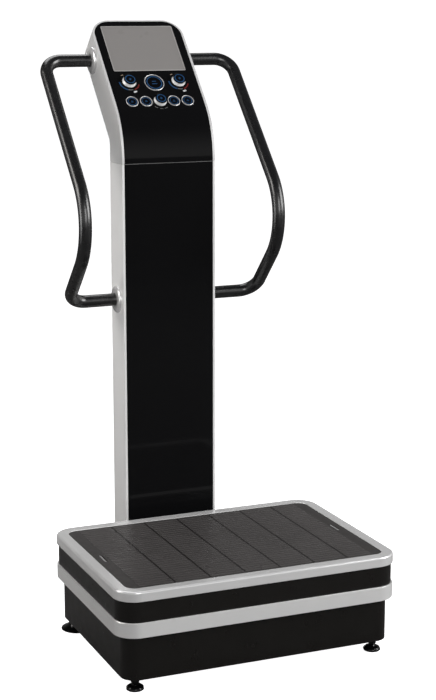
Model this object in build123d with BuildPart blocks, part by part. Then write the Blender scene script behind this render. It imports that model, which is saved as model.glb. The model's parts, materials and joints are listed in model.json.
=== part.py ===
"""Vibration plate with a column, a leaning console head and two looped handlebars.

Millimetres, +Z up. The user stands on the deck facing +Y. The origin is on the floor, under
the middle of the whole machine's box. Side planes, floor planes and the console's own plane
carry every sketch, so a piece follows the size of what it fits.
"""

from build123d import *
from math import cos, radians, sin, tan
import os

os.makedirs("parts", exist_ok=True)

# ---------------------------------------------------------------- driving sizes
# deck
deck_width = 700.0
deck_depth = 503.0
deck_corner = 53.0
deck_top = 245.5
rim_height = 24.0
rim_side = 28.5
rim_front = 27.0
rim_rear = 31.0
rim_flange = 5.0
rim_wall = 4.0
rim_edge_round = 2.5
board_thickness = 18.0
mat_thickness = 4.2
mat_strips = 7
mat_strip_width = 86.5
mat_strip_shift = 9.5
mat_groove = 2.0
mat_groove_depth = 1.2
mat_margin = 12.0
slot_from_end = 19.0
slot_length = 50.0
slot_width = 8.0
bar_radius = 1.9
bar_end_gap = 2.0
skirt_wall = 3.0
skirt_flange = 20.0
stripe_bottom = 137.0
stripe_height = 35.0
stripe_edge = 0.8
rock_angle = 1.3

# base
base_inset = 16.0
base_corner = 36.0
base_bottom = 32.0
base_top = 185.0
base_wall = 3.0
base_sheet = 2.5
chassis_width = 640.0
chassis_depth = 440.0
rail_width = 40.0
rail_height = 30.0
rail_wall = 2.5
cross_member_y = 160.0
side_member_x = 185.0
rear_rail_x = 80.0
rear_rail_width = 50.0
stop_post_x = 285.0
buffer_radius = 18.0
buffer_height = 30.0

# drive
pivot_height = 180.0
pivot_radius = 10.0
crank_y = -120.0
crank_height = 112.0
shaft_radius = 10.0
crank_length = 500.0
crank_throw = 5.0
eccentric_radius = 18.0
eccentric_width = 14.0
rod_x = 220.0
rod_wall = 8.0
rod_pin_radius = 6.0
rod_pin_height = 165.0
belt_x = 120.0
belt_width = 12.0
belt_thickness = 3.0
crank_pulley_radius = 42.0
motor_pulley_radius = 18.0
pulley_flange = 3.0
pulley_cheek = 2.0
pulley_play = 1.0
motor_y = 60.0
motor_height = 100.0
motor_radius = 50.0
motor_length = 150.0
motor_shaft_radius = 7.0
motor_bearing = 20.0
motor_edge = 5.0
motor_foot_height = 4.0
motor_foot_inset = 15.0
motor_web = 12.0

# feet
front_foot_x = 301.0
front_foot_y = 206.0
front_foot_radius = 21.0
front_foot_pad = 12.0
front_foot_round = 5.0
front_foot_edge = 1.0
front_foot_nut = 7.0
front_foot_nut_margin = 1.5
stud_radius = 5.0
rear_foot_x = 302.0
rear_foot_y = 203.0
rear_foot_radius = 40.0
rear_foot_neck = 16.0
rear_foot_neck_length = 5.0
rear_foot_hollow = 6.0
rear_foot_core = 3.0
rear_foot_edge = 3.5
rear_foot_flare = 4.0
rear_foot_waist = 12.0
stud_clear = 3.0

# column and head
column_gap = 84.0
column_width = 247.0
column_depth = 95.0
column_lip = 6.0
column_wall = 3.0
rear_edge_round = 6.0
seam_height = 1126.0
seam_gap = 0.8
bend_lead = 6.0
panel_thickness = 4.0
panel_shoulder = 10.0
shoulder_thickness = 3.0
mount_thickness = 6.0
mount_corner = 4.0
column_seat_gap = 0.5
column_front_round = 1.0
mast_width = 120.0
mast_depth = 50.0
mast_wall = 3.0
mast_top = 1190.0
head_lean = 43.0
head_bend = 200.0
head_rear_bend = 30.0
head_thickness = 93.0
head_reach = 277.0
head_border = 4.0
head_corner = 51.0

# handlebars
tube_radius = 16.0
tube_wall = 2.0
handle_spread = 254.0
handle_bend = 45.0
grip_bend = 140.0
grip_lead = 156.0
grip_height = 990.0
lower_mount_height = 784.0
upper_mount_reach = 184.5
flange_radius = 34.0
flange_thickness = 8.0
flange_round = 5.0
cross_bar_radius = 12.5

# console, measured on the face from the end of the head's bend
screen_width = 194.0
screen_height = 150.0
screen_reach = 182.5
screen_frame = 3.5
screen_depth = 10.0
screen_corner = 4.0
glass_corner = 2.0
glass_recess = 1.0
dial_x = 66.0
dial_reach = 71.5
dial_radius = 20.5
dial_top_radius = 15.0
dial_height = 12.0
lower_dial_radius = 19.0
dial_shaft_radius = 3.0
shaft_play = 1.0
shaft_end_gap = 2.0
dial_edge = 1.2
start_reach = 68.0
start_ring_radius = 26.0
key_row_reach = 8.5
key_pitch = 37.0
key_ring_radius = 16.2
ring_wall = 2.6
ring_step = 1.5
ring_height = 2.0
key_travel = 2.0
key_flange = 1.2
switch_height = 1.2
neck_length = 5.0
key_edge = 0.8
key_recess = 0.7
stem_radius = 2.5
board_gap = 9.0
pcb_thickness = 1.6

# fits
slip = 0.3
running = 0.05
sliding = 0.15

# ---------------------------------------------------------------- derived places
lean = radians(head_lean)
face_up = (0.0, sin(lean), cos(lean))
face_out = (0.0, -cos(lean), sin(lean))

# how far the head's rounded rear edge stands behind the column's front
head_overhang = (
    head_bend * (1 - cos(lean))
    + head_reach * sin(lean)
    + head_thickness * cos(lean)
    + rear_edge_round * (1 - sin(lean) - cos(lean))
)
overall_depth = deck_depth + column_gap + head_overhang
deck_y = (deck_depth - overall_depth) / 2

# the deck's middle on the floor is the origin of every floor and side sketch
FLOOR = Plane(origin=(0, deck_y, 0))


def side_plane(x=0.0):
    """Plane across the machine at x: sketch x is +Y, sketch y is +Z, normal +X."""
    return Plane(origin=(x, deck_y, 0), x_dir=(0, 1, 0), z_dir=(1, 0, 0))


def rear_plane(y):
    """Upright plane at y: sketch x is -X, sketch y is +Z, normal +Y."""
    return Plane(origin=(0, deck_y + y, 0), x_dir=(-1, 0, 0), z_dir=(0, 1, 0))


column_front = deck_depth / 2 + column_gap
column_rear = column_front + column_depth
column_mid = (column_front + column_rear) / 2
bend_start = seam_height + bend_lead
bend_centre_y = column_front + head_bend
face_y = bend_centre_y - head_bend * cos(lean)
face_z = bend_start + head_bend * sin(lean)
FACE = Plane(
    origin=(0, deck_y + face_y, face_z), x_dir=(1, 0, 0), z_dir=(face_out[0], face_out[1], face_out[2])
)

rim_bottom = deck_top - rim_height
board_top = deck_top - rim_flange
board_bottom = board_top - board_thickness
skirt_inset = rim_wall
window_width = deck_width - 2 * rim_side
window_depth = deck_depth - rim_front - rim_rear
window_shift = (rim_front - rim_rear) / 2
window_corner = deck_corner - rim_side
chassis_bottom = base_bottom + base_sheet
chassis_top = chassis_bottom + rail_height
column_bottom = chassis_top + mount_thickness + column_seat_gap
panel_half = column_width / 2 - column_lip
panel_reach = head_reach - head_border
shoulder_half = panel_half - panel_shoulder
inner_front = panel_thickness + shoulder_thickness
upper_mount_y = face_y + upper_mount_reach * sin(lean) + head_thickness / 2 * cos(lean)
upper_mount_z = face_z + upper_mount_reach * cos(lean) - head_thickness / 2 * sin(lean)
key_xs = [-2 * key_pitch, -key_pitch, key_pitch, 2 * key_pitch]
board_depth = panel_thickness + board_gap


def save(piece, name):
    """Labels a finished piece and writes it to its own STEP file."""
    piece.part.label = name
    export_step(piece.part, f"parts/{name}.step")


# ---------------------------------------------------------------- deck
def deck_ring(bottom, height, outset, wall):
    """A closed wall that follows the deck's outline, outset inwards from its edge."""
    with BuildPart() as ring:
        with BuildSketch(FLOOR.offset(bottom)):
            RectangleRounded(deck_width - 2 * outset, deck_depth - 2 * outset, deck_corner - outset)
            inner = outset + wall
            RectangleRounded(
                deck_width - 2 * inner, deck_depth - 2 * inner, deck_corner - inner, mode=Mode.SUBTRACT
            )
        extrude(amount=height)
    return ring


with BuildPart() as deck_rim:
    with BuildSketch(FLOOR.offset(rim_bottom)):
        RectangleRounded(deck_width, deck_depth, deck_corner)
    extrude(amount=rim_height)
    fillet(deck_rim.edges().group_by(Axis.Z)[-1], rim_edge_round)
    chamfer(deck_rim.edges().group_by(Axis.Z)[0], rim_wall / 4)
    with BuildSketch(FLOOR.offset(rim_bottom)):
        with Locations((0, window_shift)):
            RectangleRounded(window_width, window_depth, window_corner)
    extrude(amount=rim_height, mode=Mode.SUBTRACT)
    with BuildSketch(FLOOR.offset(rim_bottom)):
        RectangleRounded(deck_width - 2 * rim_wall, deck_depth - 2 * rim_wall, deck_corner - rim_wall)
    extrude(amount=rim_height - rim_flange, mode=Mode.SUBTRACT)
save(deck_rim, "deck_rim")

with BuildPart() as deck_board:
    with BuildSketch(FLOOR.offset(board_bottom)):
        edge = rim_wall + slip
        RectangleRounded(deck_width - 2 * edge, deck_depth - 2 * edge, deck_corner - edge)
    extrude(amount=board_thickness)
save(deck_board, "deck_board")

# rubber mat in the rim's window, with grooves between its strips and a slot at each end
slot_x = window_width / 2 - slot_from_end
with BuildPart() as deck_mat:
    with BuildSketch(FLOOR.offset(board_top)):
        with Locations((0, window_shift)):
            RectangleRounded(window_width - 4 * slip, window_depth - 4 * slip, window_corner - 2 * slip)
        with Locations((-slot_x, window_shift), (slot_x, window_shift)):
            SlotOverall(slot_length, slot_width, rotation=90, mode=Mode.SUBTRACT)
    extrude(amount=mat_thickness)
    with BuildSketch(FLOOR.offset(board_top + mat_thickness)):
        for strip in range(1, mat_strips):
            groove_x = mat_strip_shift + (strip - mat_strips / 2) * mat_strip_width
            with Locations((groove_x, window_shift)):
                Rectangle(mat_groove, window_depth - 2 * mat_margin)
    extrude(amount=-mat_groove_depth, mode=Mode.SUBTRACT)
save(deck_mat, "deck_mat")

# strap bars, one lying in each end slot of the mat
bar_start = deck_y + window_shift - slot_length / 2 + bar_end_gap
with BuildPart() as strap_bars:
    for side in (-1, 1):
        with BuildSketch(Plane(origin=(side * slot_x, bar_start, board_top + bar_radius), z_dir=(0, 1, 0))):
            Circle(bar_radius)
        extrude(amount=slot_length - 2 * bar_end_gap)
save(strap_bars, "strap_bars")

with BuildPart() as deck_skirt:
    add(deck_ring(stripe_bottom, board_bottom - stripe_bottom, skirt_inset, skirt_wall).part)
    with BuildSketch(FLOOR.offset(board_bottom)):
        RectangleRounded(
            deck_width - 2 * skirt_inset, deck_depth - 2 * skirt_inset, deck_corner - skirt_inset
        )
        opening = skirt_inset + skirt_wall + skirt_flange
        RectangleRounded(
            deck_width - 2 * opening, deck_depth - 2 * opening, deck_corner - opening, mode=Mode.SUBTRACT
        )
    extrude(amount=-skirt_wall)
save(deck_skirt, "deck_skirt")

with BuildPart() as deck_stripe:
    add(deck_ring(stripe_bottom, stripe_height, 0.0, rim_wall).part)
    chamfer(deck_stripe.edges().group_by(Axis.Z)[-1].sort_by(SortBy.LENGTH)[-4:], stripe_edge)
save(deck_stripe, "deck_stripe")

# steel frame under the board: two rails, pivot lugs at the middle, clevises over the rods
frame_height = 20.0
frame_wall = 2.0
frame_end_gap = 40.0
lug_wall = 12.0
clevis_play = 3.0
clevis_eye = 6.0
frame_bottom = board_bottom - frame_height
frame_half = deck_width / 2 - frame_end_gap
lug_width = 44.0
lug_bottom = pivot_height - pivot_radius - lug_wall
clevis_gap = eccentric_width / 2 + clevis_play
clevis_wall = 4.0
clevis_half = 15.0
clevis_bottom = rod_pin_height - rod_pin_radius - clevis_eye
with BuildPart() as deck_frame:
    for rail_y in (crank_y, -crank_y):
        with BuildSketch(side_plane(-frame_half)):
            with Locations((rail_y, frame_bottom + frame_height / 2)):
                Rectangle(rail_width, frame_height)
                Rectangle(rail_width - 2 * frame_wall, frame_height - 2 * frame_wall, mode=Mode.SUBTRACT)
        extrude(amount=2 * frame_half)
        with BuildSketch(FLOOR.offset(lug_bottom)):
            with Locations((0, rail_y)):
                Rectangle(lug_width, rail_width / 2)
        extrude(amount=frame_bottom - lug_bottom)
        with BuildSketch(rear_plane(rail_y - rail_width / 2)):
            with Locations((0, pivot_height)):
                Circle(pivot_radius + running)
        extrude(amount=rail_width, mode=Mode.SUBTRACT)
    for side in (-1, 1):
        for wall_side in (-1, 1):
            wall_x = side * rod_x + wall_side * (clevis_gap + clevis_wall / 2)
            with BuildSketch(FLOOR.offset(clevis_bottom)):
                with Locations((wall_x, crank_y)):
                    Rectangle(clevis_wall, 2 * clevis_half)
            extrude(amount=frame_bottom - clevis_bottom)
        with BuildSketch(side_plane(side * rod_x - clevis_gap - clevis_wall)):
            with Locations((crank_y, rod_pin_height)):
                Circle(rod_pin_radius)
        extrude(amount=2 * (clevis_gap + clevis_wall))
save(deck_frame, "deck_frame")

# ---------------------------------------------------------------- base
shell_width = deck_width - 2 * base_inset
shell_depth = deck_depth - 2 * base_inset
inlet_x = 250.0
switch_x = 190.0
inlet_height = 95.0
inlet_size = (30.0, 24.0)
switch_size = (21.0, 15.0)
rail_middle = chassis_bottom + rail_height / 2
with BuildPart() as base_shell:
    with BuildSketch(FLOOR.offset(base_bottom)):
        RectangleRounded(shell_width, shell_depth, base_corner)
        RectangleRounded(
            shell_width - 2 * base_wall, shell_depth - 2 * base_wall, base_corner - base_wall,
            mode=Mode.SUBTRACT,
        )
    extrude(amount=base_top - base_bottom)
    with BuildSketch(rear_plane(shell_depth / 2 - 2 * base_wall)):
        with Locations((-rear_rail_x, rail_middle), (rear_rail_x, rail_middle)):
            Rectangle(rear_rail_width + 2 * slip, rail_height + 2 * slip)
        with Locations((inlet_x, inlet_height)):
            Rectangle(inlet_size[0] + 2 * slip, inlet_size[1] + 2 * slip)
        with Locations((switch_x, inlet_height)):
            Rectangle(switch_size[0] + 2 * slip, switch_size[1] + 2 * slip)
    extrude(amount=3 * base_wall, mode=Mode.SUBTRACT)
save(base_shell, "base_shell")

nut_radius = 9.0
nut_height = 9.0
with BuildPart() as base_plate:
    with BuildSketch(FLOOR.offset(base_bottom)):
        edge = 2 * base_wall + 2 * slip
        RectangleRounded(shell_width - edge, shell_depth - edge, base_corner - edge / 2)
    extrude(amount=base_sheet)
    with BuildSketch(FLOOR.offset(chassis_bottom)):
        with Locations((-front_foot_x, -front_foot_y), (front_foot_x, -front_foot_y)):
            RegularPolygon(nut_radius, 6)
    extrude(amount=nut_height)
    with BuildSketch(FLOOR.offset(base_bottom)):
        with Locations((-front_foot_x, -front_foot_y), (front_foot_x, -front_foot_y)):
            Circle(stud_radius + running)
        with Locations((-rear_foot_x, rear_foot_y), (rear_foot_x, rear_foot_y)):
            Circle(stud_radius + running)
    extrude(amount=base_sheet + nut_height, mode=Mode.SUBTRACT)
save(base_plate, "base_plate")

# chassis: inverted channels with posts for the pivot blocks and the stops
post_size = 40.0
pivot_seat = 22.0
pivot_post_top = pivot_height - pivot_seat
buffer_play = 0.6
rock_drop = (stop_post_x + buffer_radius) * sin(radians(rock_angle))
stop_post_top = board_bottom - buffer_height - rock_drop - buffer_play


def chassis_plan(inset):
    """The chassis seen from above, each member narrowed by inset on both sides."""
    perimeter_x = chassis_width - rail_width
    perimeter_y = chassis_depth - rail_width
    narrow = rail_width - 2 * inset
    for side in (-1, 1):
        with Locations((0, side * perimeter_y / 2)):
            Rectangle(chassis_width - 2 * inset, narrow)
        with Locations((side * perimeter_x / 2, 0)):
            Rectangle(narrow, chassis_depth - 2 * inset)
        with Locations((0, side * cross_member_y)):
            Rectangle(chassis_width - 2 * inset, narrow)
        with Locations((side * side_member_x, 0)):
            Rectangle(narrow, chassis_depth - 2 * inset)


with BuildPart() as chassis_frame:
    with BuildSketch(FLOOR.offset(chassis_bottom)):
        chassis_plan(0.0)
    extrude(amount=rail_height)
    with BuildSketch(FLOOR.offset(chassis_bottom)):
        chassis_plan(rail_wall)
    extrude(amount=rail_height - rail_wall, mode=Mode.SUBTRACT)
    with BuildSketch(FLOOR.offset(chassis_top)):
        with Locations((0, -cross_member_y), (0, cross_member_y)):
            Rectangle(post_size, post_size)
            Rectangle(post_size - 2 * rail_wall, post_size - 2 * rail_wall, mode=Mode.SUBTRACT)
    extrude(amount=pivot_post_top - chassis_top)
    with BuildSketch(FLOOR.offset(chassis_top)):
        with GridLocations(2 * stop_post_x, 2 * cross_member_y, 2, 2):
            Rectangle(post_size, post_size)
            Rectangle(post_size - 2 * rail_wall, post_size - 2 * rail_wall, mode=Mode.SUBTRACT)
    extrude(amount=stop_post_top - chassis_top)
    with BuildSketch(FLOOR.offset(stop_post_top)):
        with GridLocations(2 * stop_post_x, 2 * cross_member_y, 2, 2):
            Rectangle(post_size, post_size)
    extrude(amount=-rail_wall)
save(chassis_frame, "chassis_frame")

# two channels run back from the chassis and carry the column
rear_rail_length = column_rear - chassis_depth / 2
with BuildPart() as column_rails:
    with BuildSketch(FLOOR.offset(chassis_bottom)):
        with Locations((0, column_rear - rear_rail_length / 2)):
            with GridLocations(2 * rear_rail_x, 0, 2, 1):
                Rectangle(rear_rail_width, rear_rail_length)
    extrude(amount=rail_height)
    with BuildSketch(FLOOR.offset(chassis_bottom)):
        with Locations((0, column_rear - rear_rail_length / 2)):
            with GridLocations(2 * rear_rail_x, 0, 2, 1):
                Rectangle(rear_rail_width - 2 * rail_wall, rear_rail_length - 2 * rail_wall)
    extrude(amount=rail_height - rail_wall, mode=Mode.SUBTRACT)
save(column_rails, "column_rails")

with BuildPart() as deck_buffers:
    with BuildSketch(FLOOR.offset(stop_post_top)):
        with GridLocations(2 * stop_post_x, 2 * cross_member_y, 2, 2):
            Circle(buffer_radius)
    extrude(amount=buffer_height)
    fillet(deck_buffers.edges().group_by(Axis.Z)[-1], buffer_radius / 6)
save(deck_buffers, "deck_buffers")

block_width = 60.0
block_depth = 26.0
block_foot = 10.0
block_cap = 8.0
for end_name, end_y in (("front", -cross_member_y), ("rear", cross_member_y)):
    with BuildPart() as pivot_block:
        with BuildSketch(rear_plane(end_y - block_depth / 2)):
            with BuildLine():
                Polyline(
                    (-block_width / 2, pivot_post_top),
                    (block_width / 2, pivot_post_top),
                    (block_width / 2, pivot_post_top + block_foot),
                    (2 * pivot_radius, pivot_height + block_cap),
                    (pivot_radius, pivot_height + pivot_radius + block_cap),
                    (-pivot_radius, pivot_height + pivot_radius + block_cap),
                    (-2 * pivot_radius, pivot_height + block_cap),
                    (-block_width / 2, pivot_post_top + block_foot),
                    close=True,
                )
            make_face()
            with Locations((0, pivot_height)):
                Circle(pivot_radius, mode=Mode.SUBTRACT)
        extrude(amount=block_depth)
    save(pivot_block, f"{end_name}_pivot_block")

shaft_half = cross_member_y + block_depth / 2
with BuildPart() as pivot_shaft:
    with BuildSketch(rear_plane(-shaft_half)):
        with Locations((0, pivot_height)):
            Circle(pivot_radius)
    extrude(amount=2 * shaft_half)
    chamfer(pivot_shaft.edges(), pivot_radius / 10)
save(pivot_shaft, "pivot_shaft")

# ---------------------------------------------------------------- drive
eye_play = 0.6
bearing_width = 24.0
bearing_stem = 36.0
bearing_foot = 70.0
bearing_foot_height = 10.0
bearing_wall = 12.0
# crankshaft: the two eccentrics point level, one forwards and one backwards, with the deck flat
with BuildPart() as crankshaft:
    with BuildSketch(side_plane(-crank_length / 2)):
        with Locations((crank_y, crank_height)):
            Circle(shaft_radius)
    extrude(amount=crank_length)
    for side in (-1, 1):
        with BuildSketch(side_plane(side * rod_x - eccentric_width / 2)):
            with Locations((crank_y - side * crank_throw, crank_height)):
                Circle(eccentric_radius)
        extrude(amount=eccentric_width)
save(crankshaft, "crankshaft")

for side_name, side in (("left", -1), ("right", 1)):
    rod_y = crank_y - side * crank_throw
    rod_bore = eccentric_radius + running
    eye_radius = rod_pin_radius + 2 * crank_throw + eye_play
    with BuildPart() as connecting_rod:
        with BuildSketch(side_plane(side * rod_x - eccentric_width / 2)):
            with Locations((rod_y, crank_height)):
                Circle(rod_bore + rod_wall)
            with Locations((rod_y, rod_pin_height)):
                Circle(eye_radius + rod_wall / 2)
            with Locations((rod_y, (crank_height + rod_pin_height) / 2)):
                Rectangle(2 * rod_wall, rod_pin_height - crank_height)
            with Locations((rod_y, crank_height)):
                Circle(rod_bore, mode=Mode.SUBTRACT)
            with Locations((rod_y, rod_pin_height)):
                Circle(eye_radius, mode=Mode.SUBTRACT)
        extrude(amount=eccentric_width)
    save(connecting_rod, f"{side_name}_connecting_rod")

    with BuildPart() as crank_bearing:
        with BuildSketch(side_plane(side * side_member_x - bearing_width / 2)):
            with Locations((crank_y, (chassis_top + crank_height) / 2)):
                Rectangle(bearing_stem, crank_height - chassis_top)
            with Locations((crank_y, chassis_top + bearing_foot_height / 2)):
                Rectangle(bearing_foot, bearing_foot_height)
            with Locations((crank_y, crank_height)):
                Circle(shaft_radius + bearing_wall)
                Circle(shaft_radius + running, mode=Mode.SUBTRACT)
        extrude(amount=bearing_width)
    save(crank_bearing, f"{side_name}_crank_bearing")


def pulley(y, z, radius, bore):
    """A flanged pulley on the belt's plane, bored for its shaft."""
    near = belt_x - belt_width / 2 - pulley_play
    far = belt_x + belt_width / 2 + pulley_play
    with BuildPart() as wheel:
        with BuildSketch(side_plane(near)):
            with Locations((y, z)):
                Circle(radius)
        extrude(amount=far - near)
        for start, thickness in ((near, -pulley_cheek), (far, pulley_cheek)):
            with BuildSketch(side_plane(start)):
                with Locations((y, z)):
                    Circle(radius + pulley_flange)
            extrude(amount=thickness)
        if bore:
            with BuildSketch(side_plane(belt_x - belt_width)):
                with Locations((y, z)):
                    Circle(bore)
            extrude(amount=2 * belt_width, mode=Mode.SUBTRACT)
    return wheel


crank_pulley = pulley(crank_y, crank_height, crank_pulley_radius, shaft_radius)
save(crank_pulley, "crank_pulley")

# the motor's pulley is one piece with its shaft, which runs into the motor's bearing
shaft_start = motor_length / 2 - motor_bearing
with BuildPart() as motor_rotor:
    add(pulley(motor_y, motor_height, motor_pulley_radius, 0.0).part)
    with BuildSketch(side_plane(shaft_start)):
        with Locations((motor_y, motor_height)):
            Circle(motor_shaft_radius)
    extrude(amount=belt_x - shaft_start)
save(motor_rotor, "motor_rotor")

with BuildPart() as drive_belt:
    with BuildSketch(side_plane(belt_x - belt_width / 2)):
        with Locations((crank_y, crank_height)):
            outer_large = Circle(crank_pulley_radius + running + belt_thickness)
        with Locations((motor_y, motor_height)):
            outer_small = Circle(motor_pulley_radius + running + belt_thickness)
        make_hull(outer_large.edges() + outer_small.edges())
        with BuildSketch(mode=Mode.SUBTRACT):
            with Locations((crank_y, crank_height)):
                inner_large = Circle(crank_pulley_radius + running)
            with Locations((motor_y, motor_height)):
                inner_small = Circle(motor_pulley_radius + running)
            make_hull(inner_large.edges() + inner_small.edges())
    extrude(amount=belt_width)
save(drive_belt, "drive_belt")

with BuildPart() as motor:
    with BuildSketch(side_plane(-motor_length / 2)):
        with Locations((motor_y, motor_height)):
            Circle(motor_radius)
    extrude(amount=motor_length)
    fillet(motor.edges(), motor_edge)
    with BuildSketch(FLOOR.offset(chassis_bottom)):
        with Locations((0, motor_y)):
            Rectangle(motor_length - 2 * motor_foot_inset, 1.8 * motor_radius)
    extrude(amount=motor_foot_height)
    with BuildSketch(FLOOR.offset(chassis_bottom)):
        for foot_x in (-motor_length / 2 + 2 * motor_foot_inset, motor_length / 2 - 2 * motor_foot_inset):
            with Locations((foot_x, motor_y)):
                Rectangle(motor_web, 1.5 * motor_radius)
    extrude(amount=motor_height - 0.7 * motor_radius - chassis_bottom)
    with BuildSketch(side_plane(shaft_start - 1)):
        with Locations((motor_y, motor_height)):
            Circle(motor_shaft_radius + running)
    extrude(amount=motor_length, mode=Mode.SUBTRACT)
save(motor, "motor")

box_length = 150.0
box_width = 70.0
box_height = 50.0
box_clear = 6.0
box_corner = 4.0
box_edge = 3.0
box_x = side_member_x - rail_width / 2 - box_width / 2 - box_clear
box_y = cross_member_y - rail_width / 2 - box_length / 2 - 4 * box_clear
with BuildPart() as control_box:
    with BuildSketch(FLOOR.offset(chassis_bottom)):
        with Locations((-box_x, box_y)):
            RectangleRounded(box_width, box_length, box_corner)
    extrude(amount=box_height)
    fillet(control_box.edges().group_by(Axis.Z)[-1], box_edge)
save(control_box, "control_box")

inlet_flange = 2.5
inlet_wing = 18.0
inlet_brow = 5.0
inlet_depth = 22.0
socket_size = (24.0, 16.5)
socket_depth = 17.0
pin_size = (2.0, 5.0)
pin_length = 12.0
pin_pitch = 7.0
pin_offset = 2.0
with BuildPart() as power_inlet:
    with BuildSketch(rear_plane(shell_depth / 2)):
        with Locations((inlet_x, inlet_height)):
            RectangleRounded(inlet_size[0] + inlet_wing, inlet_size[1] + inlet_brow, inlet_brow - 1)
    extrude(amount=inlet_flange)
    with BuildSketch(rear_plane(shell_depth / 2)):
        with Locations((inlet_x, inlet_height)):
            Rectangle(inlet_size[0], inlet_size[1])
    extrude(amount=-inlet_depth)
    with BuildSketch(rear_plane(shell_depth / 2 + inlet_flange)):
        with Locations((inlet_x, inlet_height)):
            Rectangle(socket_size[0], socket_size[1])
    extrude(amount=-socket_depth, mode=Mode.SUBTRACT)
    with BuildSketch(rear_plane(shell_depth / 2 + inlet_flange - socket_depth)):
        for pin_x, pin_z in ((-pin_pitch, -pin_offset), (0.0, pin_offset), (pin_pitch, -pin_offset)):
            with Locations((inlet_x + pin_x, inlet_height + pin_z)):
                Rectangle(pin_size[0], pin_size[1])
    extrude(amount=pin_length)
save(power_inlet, "power_inlet")

switch_rim = 2.5
switch_lip = 2.0
switch_corner = 1.5
switch_flange = 2.0
switch_depth = 18.0
switch_hollow = 12.0
rocker_pin_depth = 3.0
rocker_pin_radius = 1.0
rocker_width = switch_size[0] - 2 * switch_rim
rocker_height = switch_size[1] - 2 * switch_rim
rocker_pin_y = shell_depth / 2 - rocker_pin_depth
with BuildPart() as switch_frame:
    with BuildSketch(rear_plane(shell_depth / 2)):
        with Locations((switch_x, inlet_height)):
            RectangleRounded(switch_size[0] + 2 * switch_lip, switch_size[1] + 2 * switch_lip, switch_corner)
    extrude(amount=switch_flange)
    with BuildSketch(rear_plane(shell_depth / 2)):
        with Locations((switch_x, inlet_height)):
            Rectangle(switch_size[0], switch_size[1])
    extrude(amount=-switch_depth)
    with BuildSketch(rear_plane(shell_depth / 2 + switch_flange)):
        with Locations((switch_x, inlet_height)):
            Rectangle(rocker_width + 2 * slip, rocker_height + 2 * slip)
    extrude(amount=-switch_hollow, mode=Mode.SUBTRACT)
    with BuildSketch(side_plane(-switch_x - switch_size[0] / 2 + rocker_pin_radius)):
        with Locations((rocker_pin_y, inlet_height)):
            Circle(rocker_pin_radius)
    extrude(amount=switch_size[0] - 2 * rocker_pin_radius)
save(switch_frame, "switch_frame")

# the rocker leans one way at rest and turns about its cross pin to lean the other way
rocker_tilt = 8.0
rocker_face = 4.4
rocker_face_offset = 2.4
rocker_boss = 2.6
rocker_end_gap = 0.4
with BuildPart() as power_rocker:
    with BuildSketch(side_plane(-switch_x - rocker_width / 2)) as rocker_profile:
        with Locations(Location((rocker_pin_y, inlet_height), -rocker_tilt)):
            with Locations((rocker_face_offset, 0)):
                Rectangle(rocker_face, rocker_height - 2 * rocker_end_gap)
            Circle(rocker_boss)
            Circle(rocker_pin_radius + running, mode=Mode.SUBTRACT)
    extrude(amount=rocker_width)
save(power_rocker, "power_rocker")

# ---------------------------------------------------------------- feet
for side_name, side in (("left", -1), ("right", 1)):
    with BuildPart() as front_foot:
        with BuildSketch(FLOOR):
            with Locations((side * front_foot_x, -front_foot_y)):
                Circle(front_foot_radius)
        extrude(amount=front_foot_pad)
        fillet(front_foot.edges().group_by(Axis.Z)[-1], front_foot_round)
        chamfer(front_foot.edges().group_by(Axis.Z)[0], front_foot_edge)
        with BuildSketch(FLOOR.offset(front_foot_pad)):
            with Locations((side * front_foot_x, -front_foot_y)):
                RegularPolygon(nut_radius + front_foot_nut_margin, 6)
        extrude(amount=front_foot_nut)
        with BuildSketch(FLOOR.offset(front_foot_pad)):
            with Locations((side * front_foot_x, -front_foot_y)):
                Circle(stud_radius)
        extrude(amount=chassis_top - rail_wall - stud_clear - front_foot_pad)
    save(front_foot, f"front_{side_name}_foot")

    # flared rubber foot, hollow underneath, on a stud through the base plate
    foot_centre = (side * rear_foot_x, deck_y + rear_foot_y, 0)
    with BuildPart() as rear_foot:
        with BuildSketch(Plane(origin=foot_centre, x_dir=(1, 0, 0), z_dir=(0, -1, 0))):
            with BuildLine():
                core = stud_radius + rear_foot_core
                rim_top = (rear_foot_radius, rear_foot_edge)
                neck = (rear_foot_neck, base_bottom - rear_foot_neck_length)
                flare = ((rear_foot_radius + rear_foot_neck) / 2 - rear_foot_flare, rear_foot_waist)
                Line((core, 0), (core, rear_foot_hollow))
                Line((core, rear_foot_hollow), (rear_foot_radius - rear_foot_hollow, 0))
                Line((rear_foot_radius - rear_foot_hollow, 0), (rear_foot_radius, 0))
                Line((rear_foot_radius, 0), rim_top)
                ThreePointArc(rim_top, flare, neck)
                Line(neck, (rear_foot_neck, base_bottom))
                Line((rear_foot_neck, base_bottom), (0, base_bottom))
                Line((0, base_bottom), (0, 0))
                Line((0, 0), (core, 0))
            make_face()
        revolve(axis=Axis(foot_centre, (0, 0, 1)))
        with BuildSketch(FLOOR.offset(base_bottom)):
            with Locations((side * rear_foot_x, rear_foot_y)):
                Circle(stud_radius)
        extrude(amount=base_sheet + nut_height)
    save(rear_foot, f"rear_{side_name}_foot")

# ---------------------------------------------------------------- column
with BuildPart() as column_mount:
    with BuildSketch(FLOOR.offset(chassis_top)):
        with Locations((0, column_mid)):
            RectangleRounded(column_width - 2 * column_wall, column_depth, mount_corner)
    extrude(amount=mount_thickness)
save(column_mount, "column_mount")

bolt_spread = 60.0
bolt_shift = 8.0
bolt_head_radius = 9.0
bolt_head_height = 6.5
with BuildPart() as column_bolts:
    with BuildSketch(FLOOR.offset(chassis_top + mount_thickness)):
        with Locations((0, column_mid)):
            with GridLocations(2 * (rear_rail_x + bolt_shift), bolt_spread, 2, 2):
                RegularPolygon(bolt_head_radius, 6)
    extrude(amount=bolt_head_height)
save(column_bolts, "column_bolts")

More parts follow.
